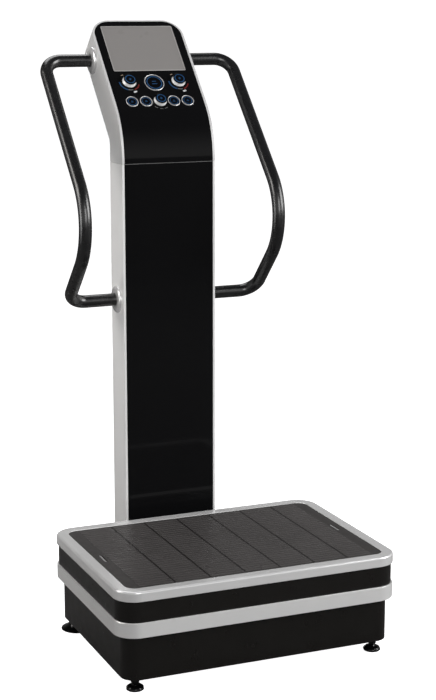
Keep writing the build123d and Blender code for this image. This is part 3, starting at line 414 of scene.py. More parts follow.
def soften(mesh: bmesh.types.BMesh, edges: list[bmesh.types.BMEdge], radius: float, steps: int = 3) -> None:
    """Rounds edges.

    Args:
        mesh: The mesh that holds the edges.
        edges: The edges to round.
        radius: Width of the rounding, in metres.
        steps: Faces across it.
    """
    bmesh.ops.bevel(mesh, geom=edges, offset=radius, affect="EDGES", segments=steps, profile=0.5,
                    material=-1, clamp_overlap=True)


def piece(mesh: bmesh.types.BMesh, name: str, body: str, finish: Finish,
          replaces: tuple[str, ...] = (), crease: float = CREASE) -> bpy.types.Object:
    """Turns a mesh into a finished piece of the object.

    Args:
        mesh: The mesh, in the row frame; it is freed.
        name: Name of the piece.
        body: The body that it rides on.
        finish: Its surface.
        replaces: CAD nodes that it stands for.
        crease: Angle in degrees past which an edge stays sharp.

    Returns:
        The piece's object.
    """
    bmesh.ops.remove_doubles(mesh, verts=mesh.verts, dist=MERGE)
    bmesh.ops.recalc_face_normals(mesh, faces=mesh.faces)
    data = bpy.data.meshes.new(name)
    mesh.to_mesh(data)
    mesh.free()
    data.shade_smooth()
    data.set_sharp_from_angle(angle=math.radians(crease))
    data.materials.append(finish.material())
    made = bpy.data.objects.new(name, data)
    bpy.context.scene.collection.objects.link(made)
    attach(made, body)
    if replaces:
        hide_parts(*replaces)
    level_normals(made)
    log.info("%s rides on %s: %d faces", name, body, len(data.polygons))
    return made


def level_normals(target: bpy.types.Object) -> None:
    """Lets large flat faces keep their own direction next to small rounded edges."""
    weighted = target.modifiers.new("level_normals", "WEIGHTED_NORMAL")
    weighted.mode, weighted.weight, weighted.keep_sharp = "FACE_AREA", 100, True


def refined(node: str, body: str, finish: Finish) -> bpy.types.Object:
    """Copies a CAD node, joins its loose triangles and shades its round faces smoothly.

    Args:
        node: The CAD node, which the copy stands for.
        body: The body that it rides on.
        finish: Its surface.

    Returns:
        The new piece.
    """
    mesh = bmesh.new()
    mesh.from_mesh(NODES[node].data)
    bmesh.ops.remove_doubles(mesh, verts=mesh.verts, dist=MERGE)
    bmesh.ops.dissolve_limit(mesh, angle_limit=math.radians(FLAT_ANGLE), verts=mesh.verts, edges=mesh.edges)
    return piece(mesh, f"{node}_finished", body, finish, (node,))


def cut(target: bpy.types.Object, cutters: list[bmesh.types.BMesh]) -> None:
    """Takes solids away from a piece and keeps its shading.

    Args:
        target: The piece that is cut.
        cutters: Solids to take away; they are freed.
    """
    target.modifiers.clear()
    for number, mesh in enumerate(cutters):
        bmesh.ops.recalc_face_normals(mesh, faces=mesh.faces)
        data = bpy.data.meshes.new(f"cutter_{number}")
        mesh.to_mesh(data)
        mesh.free()
        tool = bpy.data.objects.new(data.name, data)
        bpy.context.scene.collection.objects.link(tool)
        boolean = target.modifiers.new("cut", "BOOLEAN")
        boolean.operation, boolean.solver, boolean.object = "DIFFERENCE", "EXACT", tool
        bpy.context.view_layer.update()
        shaped = bpy.data.meshes.new_from_object(target.evaluated_get(bpy.context.evaluated_depsgraph_get()))
        target.modifiers.clear()
        target.data = shaped
        bpy.data.objects.remove(tool)
    target.data.set_sharp_from_angle(angle=math.radians(CREASE))
    level_normals(target)


# ---------------------------------------------------------------- deck and base
@dataclass
class Deck:
    """The rocking deck: polished rim, ribbed mat, black band and silver stripe."""

    corner: float = 53 * MM
    top_round: float = 5 * MM
    round_steps: int = 6
    lip: float = 1 * MM
    rim_side: float = 28.5 * MM
    rim_front: float = 27 * MM
    rim_rear: float = 31 * MM
    inner_round: float = 1.2 * MM
    inner_steps: int = 2
    rim_joints: tuple[float, float] = (-118 * MM, 80 * MM)
    joint_gap: float = 1.4 * MM
    joint_depth: float = 1.0 * MM
    cut_spare: float = 1 * MM
    rim_wall: float = 4 * MM
    rim_flange: float = 5 * MM
    band_wall: float = 3 * MM
    strips: int = 7
    strip_width: float = 86.5 * MM
    strip_shift: float = 9.5 * MM
    seam: float = 4.4 * MM
    seam_height: float = 0.35 * MM
    ribs: int = 30
    rib_width: float = 9.8 * MM
    rib_height: float = 0.7 * MM
    rib_round_share: float = 0.9
    rib_root: float = 1.0 * MM
    rib_margin: float = 7 * MM
    mat_margin: float = 30 * MM

    def build(self) -> None:
        """Builds every piece of the deck."""
        self.rim()
        self.band()
        self.stripe()
        self.ribbed_strips()
        # The mat under the ribs is painted darker: painted shade in the grooves.
        NODES["deck_mat"].data.materials[0] = GROOVE_SHADE_RUBBER.material()
        NODES["strap_bars"].data.materials[0] = CHROME.material()
        NODES["deck_board"].data.materials[0] = RAW_BOARD.material()
        NODES["deck_frame"].data.materials[0] = FRAME_BLACK.material()

    def rim(self) -> None:
        """The polished frame round the mat, with a rounded outer edge."""
        low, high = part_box("deck_rim")
        outer = Outline.of_node("deck_rim", self.corner)
        window = Outline(
            Vector((low.x + self.rim_side, low.y + self.rim_front)),
            Vector((high.x - self.rim_side, high.y - self.rim_rear)),
            self.corner - self.rim_side,
        )
        stations = [(outer.shrunk(self.lip), low.z), (outer, low.z + self.lip)]
        for step in range(self.round_steps + 1):
            angle = math.pi / 2 * step / self.round_steps
            inset = self.top_round * (1 - math.cos(angle))
            stations.append((outer.shrunk(inset), high.z - self.top_round * (1 - math.sin(angle))))
        for step in range(self.inner_steps + 1):
            angle = math.pi / 2 * (1 - step / self.inner_steps)
            inset = -self.inner_round * (1 - math.cos(angle))
            stations.append((window.shrunk(inset), high.z - self.inner_round * (1 - math.sin(angle))))
        stations += [
            (window, high.z - self.rim_flange),
            (outer.shrunk(self.rim_wall), high.z - self.rim_flange),
            (outer.shrunk(self.rim_wall), low.z),
        ]
        mesh = bmesh.new()
        ring_wall(mesh, stations)
        made = piece(mesh, "rim_polished", "deck", RIM_METAL, ("deck_rim",), crease=38.0)
        cut(made, [self.joint_slit(low, high, place) for place in self.rim_joints])

    def joint_slit(self, low: Vector, high: Vector, place: float) -> bmesh.types.BMesh:
        """The solid that cuts the slit where the rim's two halves meet.

        Args:
            low: The rim's lowest corner.
            high: The rim's highest corner.
            place: Where the slit crosses; a negative place is on the front bar, the other on the rear bar.

        Returns:
            A thin block across the bar.
        """
        across = self.rim_front if place < 0 else self.rim_rear
        near = low.y if place < 0 else high.y - across
        half = Vector((self.joint_gap / 2, 0, 0))
        mesh = bmesh.new()
        block(mesh, Vector((place, near - self.cut_spare, high.z - self.joint_depth)) - half,
              Vector((place, near + across + self.cut_spare, high.z + self.cut_spare)) + half)
        return mesh

    def band(self) -> None:
        """The black band under the rim."""
        low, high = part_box("deck_skirt")
        outer = Outline.of_node("deck_skirt", self.corner - self.rim_wall)
        inner = outer.shrunk(self.band_wall)
        mesh = bmesh.new()
        ring_wall(mesh, [(outer, low.z), (outer, high.z), (inner, high.z), (inner, low.z)])
        piece(mesh, "band_black", "deck", SATIN_BLACK_WARM_REFLECTION, ("deck_skirt",))

    def stripe(self) -> None:
        """The silver stripe that stands proud of the band."""
        low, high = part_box("deck_stripe")
        outer = Outline.of_node("deck_stripe", self.corner)
        inner = outer.shrunk(self.rim_wall)
        mesh = bmesh.new()
        ring_wall(mesh, [
            (outer.shrunk(self.lip), low.z), (outer, low.z + self.lip),
            (outer, high.z - self.lip), (outer.shrunk(self.lip), high.z),
            (inner, high.z), (inner, low.z),
        ])
        piece(mesh, "stripe_silver", "deck", SILVER, ("deck_stripe",))

    def ribbed_strips(self) -> None:
        """The mat's strips, each a row of low rounded ribs, with the mat between them painted darker as shade
        in the grooves.
        """
        low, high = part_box("deck_mat")
        front, rear = low.y + self.rib_margin, high.y - self.rib_margin
        left_end, right_end = low.x + self.mat_margin, high.x - self.mat_margin
        pitch = (rear - front) / self.ribs
        mesh = bmesh.new()
        for strip in range(self.strips):
            seam = self.strip_shift + (strip - self.strips / 2) * self.strip_width
            left = left_end if strip == 0 else seam + self.seam / 2
            right = right_end if strip == self.strips - 1 else seam + self.strip_width - self.seam / 2
            for rib in range(self.ribs):
                middle = front + (rib + 0.5) * pitch
                block(mesh, Vector((left, middle - self.rib_width / 2, high.z - self.rib_root)),
                      Vector((right, middle + self.rib_width / 2, high.z + self.rib_height)))
        top = [edge for edge in mesh.edges if min(vert.co.z for vert in edge.verts) > high.z]
        soften(mesh, top, self.rib_height * self.rib_round_share, 2)
        piece(mesh, "mat_ribs", "deck", MAT_RUBBER, crease=60.0)
        self.seams(front, rear, high.z)

    def seams(self, front: float, rear: float, top: float) -> None:
        """The dark seams between the strips.

        Args:
            front: Where they start.
            rear: Where they end.
            top: Height of the mat's top.
        """
        seams = bmesh.new()
        for strip in range(1, self.strips):
            middle = self.strip_shift + (strip - self.strips / 2) * self.strip_width
            block(seams, Vector((middle - self.seam / 2, front, top - self.rib_root)),
                  Vector((middle + self.seam / 2, rear, top + self.seam_height)))
        piece(seams, "mat_seams", "deck", SEAM_RUBBER)


@dataclass
class Base:
    """The box under the deck, its feet, its rails and the power fittings."""

    pad_lobes: int = 10
    pad_radius: float = 21 * MM
    pad_steps: int = 40
    pad_section: tuple[tuple[float, float], ...] = (
        (3.0, 0.0), (0.6, 1.2), (0.0, 3.5), (0.8, 6.5), (4.0, 9.8), (8.0, 11.0))
    neck_section: tuple[tuple[float, float], ...] = ((3.0, 11.5), (1.5, 14.0), (0.0, 15.0))
    lobe_depth: float = 0.025
    lobe_width: float = 5 * MM
    stud_radius: float = 5 * MM
    nut_radius: float = 10 * MM
    nut_height: float = 7 * MM
    nut_middle: float = 20.5 * MM
    nut_round: float = 0.5 * MM
    cup_steps: int = 64
    cup_section: tuple[tuple[float, float], ...] = (
        (0.0, 1.5), (8.0, 1.5), (8.0, 6.0), (20.0, 3.5), (34.0, 0.8), (38.0, 0.0), (40.0, 1.0), (40.0, 2.6),
        (38.0, 3.8), (32.0, 6.6), (26.0, 10.5), (21.0, 15.5), (17.5, 21.0), (16.2, 26.0))
    cup_neck: float = 16 * MM

    def build(self) -> None:
        """Builds every piece of the base."""
        refined("base_shell", "base", SATIN_BLACK_WARM_REFLECTION)
        refined("column_rails", "base", FRAME_BLACK)
        refined("power_inlet", "base", FOOT_RUBBER)
        refined("switch_frame", "base", FOOT_RUBBER)
        refined("power_rocker", "rocker", KEY_BLACK)
        for side in ("left", "right"):
            self.levelling_foot(f"front_{side}_foot", f"{side}_leveller")
            self.cup_foot(f"rear_{side}_foot")
        for node in ("base_plate", "chassis_frame", "column_mount"):
            NODES[node].data.materials[0] = FRAME_BLACK.material()
        NODES["deck_buffers"].data.materials[0] = FOOT_RUBBER.material()

    def levelling_foot(self, node: str, body: str) -> None:
        """A screw foot: a lobed pad, a neck and a stud in one, and a hexagonal nut.

        Args:
            node: The CAD node that it stands for.
            body: The body that it rides on.
        """
        low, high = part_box(node)
        centre = (low + high) / 2
        pad = [(self.pad_radius - inset * MM, height * MM) for inset, height in self.pad_section]
        neck = [(self.stud_radius + more * MM, height * MM) for more, height in self.neck_section]
        mesh = bmesh.new()
        lathe(mesh, [(0.0, 0.0), *pad, *neck, (self.stud_radius, high.z), (0.0, high.z)], self.pad_steps)
        for vert in mesh.verts:
            if vert.co.to_2d().length > self.pad_radius - self.lobe_width and vert.co.z > 1 * MM:
                wave = math.cos(self.pad_lobes * math.atan2(vert.co.y, vert.co.x))
                vert.co.xy *= 1 - self.lobe_depth * (1 - wave)
        bmesh.ops.translate(mesh, vec=(centre.x, centre.y, 0), verts=mesh.verts)
        piece(mesh, f"{node}_pad", body, FOOT_RUBBER, (node,), crease=50.0)
        nut = bmesh.new()
        made = bmesh.ops.create_cone(nut, cap_ends=True, segments=6, radius1=self.nut_radius,
                                     radius2=self.nut_radius, depth=self.nut_height)
        bmesh.ops.translate(nut, vec=(centre.x, centre.y, self.nut_middle), verts=made["verts"])
        soften(nut, sharp_edges(nut, 30), self.nut_round, 2)
        piece(nut, f"{node}_nut", body, FOOT_RUBBER)

    def cup_foot(self, node: str) -> None:
        """A flared rubber cup, hollow underneath, on its stud.

        Args:
            node: The CAD node that it stands for.
        """
        low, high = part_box(node)
        centre = (low + high) / 2
        neck_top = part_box("base_plate")[0].z
        cup = [(radius * MM, height * MM) for radius, height in self.cup_section]
        stud = self.stud_radius
        stem = [(self.cup_neck, neck_top), (stud, neck_top), (stud, high.z), (0.0, high.z)]
        mesh = bmesh.new()
        lathe(mesh, cup + stem, self.cup_steps)
        bmesh.ops.translate(mesh, vec=(centre.x, centre.y, 0), verts=mesh.verts)
        piece(mesh, f"{node}_cup", "base", FOOT_RUBBER, (node,), crease=50.0)


# ---------------------------------------------------------------- column and head
@dataclass
class Column:
    """The upright: a silver shell with a gloss black panel, and the head that leans from it."""

    lip: float = 6 * MM
    border: float = 4 * MM
    wall: float = 3 * MM
    rear_round: float = 6 * MM
    rear_round_steps: int = 6
    front_round: float = 1 * MM
    edge_round: float = 0.4 * MM
    edge_round_steps: int = 2
    panel: float = 4 * MM
    sheet_clearance: float = 0.1 * MM
    recess_wall: float = 0.02 * MM
    hairline: float = 0.35 * MM
    seam_recess: float = 0.2 * MM
    bend_lead: float = 6 * MM
    bend: float = 200 * MM
    bend_steps: int = 24
    rear_bend: float = 30 * MM
    rear_bend_steps: int = 8
    head_reach: float = 277 * MM
    head_thickness: float = 93 * MM
    head_corner: float = 51 * MM
    head_corner_steps: int = 14
    head_outline_steps: int = 5
    taper_from: float = 0.5

    def build(self) -> None:
        """Builds the column and the head."""
        self.shell()
        self.front_panel()
        self.head()
        for node in ("column_mast", "lower_cross_bar", "upper_cross_bar"):
            NODES[node].data.materials[0] = FRAME_BLACK.material()
        NODES["column_bolts"].data.materials[0] = BARE_STEEL.material()

    def shell(self) -> None:
        """The silver sides and back, with a narrow lip either side of the panel."""
        low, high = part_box("column_shell")
        mesh = bmesh.new()
        pen = Pen(mesh, mesh.verts.new(low))
        corners = [
            (low.x, high.y), (high.x, high.y), (high.x, low.y), (high.x - self.lip, low.y),
            (high.x - self.lip, high.y - self.wall), (low.x + self.lip, high.y - self.wall),
            (low.x + self.lip, low.y), (low.x, low.y),
        ]
        for x, y in corners:
            pen.line(Vector((x, y, low.z)))
        face = pen.fill()
        raised = bmesh.ops.extrude_face_region(mesh, geom=[face])
        top = [item for item in raised["geom"] if isinstance(item, bmesh.types.BMVert)]
        bmesh.ops.translate(mesh, vec=(0, 0, high.z - low.z), verts=top)
        upright = [edge for edge in mesh.edges if abs(edge.verts[0].co.z - edge.verts[1].co.z) > self.lip]
        rear = [edge for edge in upright if edge.verts[0].co.y > high.y - NEAR]
        front = [edge for edge in upright if edge.verts[0].co.y < low.y + NEAR]
        soften(mesh, rear, self.rear_round, self.rear_round_steps)
        soften(mesh, [edge for edge in front if edge.is_valid], self.front_round)
        rim = [edge for edge in mesh.edges
               if len(edge.link_faces) == 2 and min(vert.co.z for vert in edge.verts) > high.z - NEAR]
        soften(mesh, rim, self.edge_round, self.edge_round_steps)
        piece(mesh, "column_silver", "base", COLUMN_SILVER, ("column_shell",))

    def front_panel(self) -> None:
        """The gloss black panel, flush between the lips."""
        low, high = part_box("column_shell")
        gap = Vector((self.lip + self.hairline, 0, 0))
        mesh = bmesh.new()
        block(mesh, low + gap, Vector((high.x, low.y + self.panel, high.z)) - gap)
        soften(mesh, mesh.edges[:], self.edge_round, self.edge_round_steps)
        piece(mesh, "column_gloss", "base", GLOSS_BLACK, ("column_panel",))
        seam = bmesh.new()
        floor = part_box("head_shell")[0].z
        block(seam, Vector((low.x + gap.x, low.y + self.seam_recess, high.z)),
              Vector((high.x - gap.x, low.y + self.panel, floor + self.hairline)))
        piece(seam, "seam_strip", "base", SCALE_GREY)

    def head(self) -> None:
        """The head: its side outline pulled across, rounded, and recessed for the gloss sheet."""
        face = ConsoleFace.of_dial()
        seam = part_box("head_shell")[0].z
        mesh, arc_end, tip = self.head_block(face, seam)
        corners = [edge for edge in mesh.edges
                   if abs((edge.verts[0].co - edge.verts[1].co).normalized().dot(face.out)) > 0.999
                   and min((vert.co - tip).dot(face.up) for vert in edge.verts) > -NEAR]
        soften(mesh, corners, self.head_corner, self.head_corner_steps)
        outline = [edge for edge in mesh.edges if self._is_rear_outline(edge, seam)]
        soften(mesh, outline, self.rear_round, self.head_outline_steps)

        bottom = [f for f in mesh.faces if f.normal.z < -0.99 and f.calc_center_median().z < seam + NEAR]
        bmesh.ops.delete(mesh, geom=bottom, context="FACES")
        front = [f for f in mesh.faces if self._is_front(f)]
        bmesh.ops.inset_region(mesh, faces=front, thickness=self.lip, depth=0.0, use_boundary=False,
                               use_even_offset=True)
        for vert in {vert for f in front for vert in f.verts}:
            past = (vert.co - arc_end).dot(face.up) / self.head_reach - self.taper_from
            if past > 0:
                vert.co += face.up * (self.lip - self.border) * past / (1 - self.taper_from)

        sheet = mesh.copy()
        mesh.faces.index_update()
        chosen = {f.index for f in front}
        bmesh.ops.delete(sheet, geom=[f for f in sheet.faces if f.index not in chosen], context="FACES")
        bmesh.ops.inset_region(mesh, faces=front, thickness=self.recess_wall, depth=-self.panel,
                               use_boundary=False, use_even_offset=True)
        bmesh.ops.holes_fill(mesh, edges=[edge for edge in mesh.edges if edge.is_boundary])
        # The head's shell takes the darker silver, which is painted shade.
        piece(mesh, "head_silver_shade", "base", HEAD_SILVER_SHADE, ("head_shell",))
        self.head_sheet(sheet, face)

    def head_block(self, face: "ConsoleFace", seam: float) -> tuple[bmesh.types.BMesh, Vector, Vector]:
        """Draws the head's side outline with true arcs and pulls it across.

        Args:
            face: The console's plane.
            seam: Height of the head's lower end.

        Returns:
            The solid, the upper end of its front bend, and its front upper corner, both on the left side.
        """
        column_low, column_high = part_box("column_shell")
        head_low, head_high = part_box("head_shell")
        up, out = face.up, face.out
        left, front, rear = head_low.x, column_low.y, column_high.y
        start = Vector((left, front, column_high.z + self.bend_lead))
        arc_centre = start + Vector((0, self.bend, 0))
        lean = math.acos(up.z)
        arc_end = arc_centre + out * self.bend
        tip = arc_end + up * self.head_reach
        rear_tip = tip - out * self.head_thickness
        corner = rear_tip - up * ((rear_tip.y - rear) / up.y)
        bend_from = corner + up * self.rear_bend * math.tan(lean / 2)

        mesh = bmesh.new()
        pen = Pen(mesh, mesh.verts.new((left, front, seam)))
        pen.line(start)
        pen.arc(arc_centre, Vector((1, 0, 0)), -lean, self.bend_steps)
        pen.line(tip)
        pen.line(rear_tip)
        pen.line(bend_from)
        pen.arc(bend_from - out * self.rear_bend, Vector((1, 0, 0)), lean, self.rear_bend_steps)
        pen.line(Vector((left, rear, seam)))
        pen.line(Vector((left, front, seam)))
        side = pen.fill()
        pulled = bmesh.ops.extrude_face_region(mesh, geom=[side])
        moved = [item for item in pulled["geom"] if isinstance(item, bmesh.types.BMVert)]
        bmesh.ops.translate(mesh, vec=(head_high.x - left, 0, 0), verts=moved)
        bmesh.ops.recalc_face_normals(mesh, faces=mesh.faces)
        return mesh, arc_end, tip

    def head_sheet(self, sheet: bmesh.types.BMesh, face: "ConsoleFace") -> None:
        """The head's gloss black front, pierced for the screen and the controls.

        Args:
            sheet: Its outer face as an open mesh.
            face: The console's plane.
        """
        bmesh.ops.inset_region(sheet, faces=sheet.faces, thickness=self.hairline, depth=0.0,
                               use_boundary=True, use_even_offset=True)
        hair = [f for f in sheet.faces if any(edge.is_boundary for edge in f.edges)]
        bmesh.ops.delete(sheet, geom=hair, context="FACES")
        bmesh.ops.solidify(sheet, geom=sheet.faces, thickness=self.panel - self.sheet_clearance)
        made = piece(sheet, "head_gloss", "base", GLOSS_BLACK, ("head_panel",))
        cut(made, face.openings())

    @staticmethod
    def _is_front(face: bmesh.types.BMFace) -> bool:
        """Whether a face of the head looks to the front, on the upright strip, the bend or the slope."""
        return abs(face.normal.x) < LEVEL and face.normal.y < -0.5 and face.normal.z > -LEVEL

    @staticmethod
    def _is_rear_outline(edge: bmesh.types.BMEdge, seam: float) -> bool:
        """Whether an edge runs round the outline of the head's back.

        Args:
            edge: The edge.
            seam: Height of the head's lower end, whose own edges don't count.

        Returns:
            True where the edge is a sharp one beside a face that looks to the rear.
        """
        if len(edge.link_faces) != 2 or edge.calc_face_angle(0.0) < math.radians(60):
            return False
        if max(vert.co.z for vert in edge.verts) < seam + NEAR:
            return False
        normals = [f.normal for f in edge.link_faces]
        return any(abs(n.x) < LEVEL and n.y > 0.5 and n.z < 0.01 for n in normals)


# ---------------------------------------------------------------- console
@dataclass(frozen=True)
class ConsoleFace:
    """The plane that carries the controls, with places measured from the middle of its lower end.

    Args:
        origin: Middle of the head's slope at the end of its bend.
        up: Direction up the slope.
        out: Direction out of the slope.
    """

    origin: Vector
    up: Vector
    out: Vector
    start: tuple[float, float] = (0.0, 68 * MM)
    start_radius: float = 26 * MM
    key_row: float = 8.5 * MM
    key_radius: float = 16.2 * MM
    ring_step: float = 1.5 * MM
    shaft_hole: float = 4 * MM
    screen_corner: float = 4 * MM
    cut_depth: float = 10 * MM
    screen_middle: float = 182.5 * MM
    screen_size: tuple[float, float] = (194 * MM, 150 * MM)
    dial_row: float = 71.5 * MM

    @classmethod
    def of_dial(cls) -> "ConsoleFace":
        """Finds the plane from the left dial's joint.

        Returns:
            The console's plane.
        """
        joint = JOINTS["left_dial_turn"]
        out = Vector(joint["axis"]).normalized()
        up = Vector((1, 0, 0)).cross(out) * -1
        place = Vector(joint["pos_m"])
        return cls(Vector((0, place.y, place.z)) - up * cls.dial_row, up, out)

    @property
    def matrix(self) -> Matrix:
        """Turns a mesh drawn with x across, y up the slope and z outwards into its place."""
        turn = Matrix((Vector((1, 0, 0)), self.up, self.out)).transposed().to_4x4()
        return Matrix.Translation(self.origin) @ turn

    def keys(self) -> list[tuple[str, float]]:
        """Each small key's number and place across."""
        return [(str(n), self.across(f"key_{n}")) for n in range(1, 5)]

    @staticmethod
    def across(node: str) -> float:
        """Where a node's middle lies across the console."""
        low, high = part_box(node)
        return (low.x + high.x) / 2

    def placed(self, mesh: bmesh.types.BMesh, x: float = 0.0, y: float = 0.0) -> bmesh.types.BMesh:
        """Moves a mesh drawn about the face's origin to a place on the face.

        Args:
            mesh: The mesh.
            x: Its place across the face.
            y: Its place up the face.

        Returns:
            The same mesh.
        """
        bmesh.ops.transform(mesh, matrix=self.matrix @ Matrix.Translation((x, y, 0)), verts=mesh.verts)
        return mesh

    def openings(self) -> list[bmesh.types.BMesh]:
        """Draws the solids that pierce the head's front for the screen, the rings and the dials.

        Returns:
            One solid for each opening.
        """
        half = Vector(self.screen_size) / 2
        outline = Outline(-half, half, self.screen_corner)
        screen = bmesh.new()
        plate_wall(screen, [(outline, -self.cut_depth), (outline, self.cut_depth)])
        made = [self.placed(screen, 0, self.screen_middle)]
        holes = [(*self.start, self.start_radius - self.ring_step)]
        holes += [(x, self.key_row, self.key_radius - self.ring_step) for _, x in self.keys()]
        holes += [(self.across(f"{side}_dial"), self.dial_row, self.shaft_hole) for side in ("left", "right")]
        holes.append((0.0, self.key_row, self.shaft_hole))
        for x, y, radius in holes:
            drill = bmesh.new()
            bmesh.ops.create_cone(drill, cap_ends=True, segments=48, radius1=radius, radius2=radius,
                                  depth=2 * self.cut_depth)
            made.append(self.placed(drill, x, y))
        return made


@dataclass(frozen=True)
class DialSize:
    """The sizes of one dial.

    Args:
        base: Radius of its black foot.
        skirt: Radius of the silver skirt's lower edge.
        cap: Radius of its black cap.
    """

    base: float
    skirt: float
    cap: float


UPPER_DIAL = DialSize(20.5 * MM, 17.7 * MM, 16 * MM)
LOWER_DIAL = DialSize(19 * MM, 16.2 * MM, 15 * MM)


@dataclass(frozen=True)
class KeyPrint:
    """What is printed on a round key: a ring and two bars.

    Args:
        share: Outer radius of the ring as a share of the key's radius.
        width: Width of the ring.
        thick: Thickness of the bars.
        bars: Each bar's place up the key and half its length.
    """

    share: float
    width: float
    thick: float
    bars: tuple[tuple[float, float], ...]


SMALL_PRINT = KeyPrint(0.82, 1.5 * MM, 1.5 * MM, ((-1.6 * MM, 3.2 * MM), (1.6 * MM, 2.2 * MM)))
START_PRINT = KeyPrint(0.87, 2.6 * MM, 2.2 * MM, ((-4 * MM, 7 * MM), (4 * MM, 5.5 * MM)))


@dataclass(frozen=True)
class Arc:
    """A printed arc round a dial.

    Args:
        name: Last part of its piece's name.
        radius: Its middle radius.
        width: Its width.
        start: Where it starts, in degrees from the face's x direction.
        sweep: How far it goes, in degrees.
        finish: Its surface.
    """

    name: str
    radius: float
    width: float
    start: float
    sweep: float
    finish: Finish


UPPER_SCALE = (
    Arc("blue", 25.5 * MM, 3.6 * MM, 178, 72, BLUE_PRINT),
    Arc("grey", 24.9 * MM, 1.6 * MM, 252, 30, SCALE_GREY),
    Arc("red", 25.5 * MM, 3.2 * MM, 290, 52, RED_PRINT),
)
LOWER_SCALE = tuple(Arc(str(number), 24 * MM, 1.3 * MM, start, 22, SCALE_GREY)
                    for number, start in enumerate((222, 254, 286), 1))
SMALL_MARKS = (
    ("white", (9 * MM, -31 * MM), Vector((4.6 * MM, 2.2 * MM, 0)), WHITE_PRINT),
    ("tan", (-13 * MM, 23 * MM), Vector((3.4 * MM, 1.2 * MM, 0)), TAN_PRINT),
)
MARK_TURN = Matrix.Rotation(math.radians(22), 3, "Z")


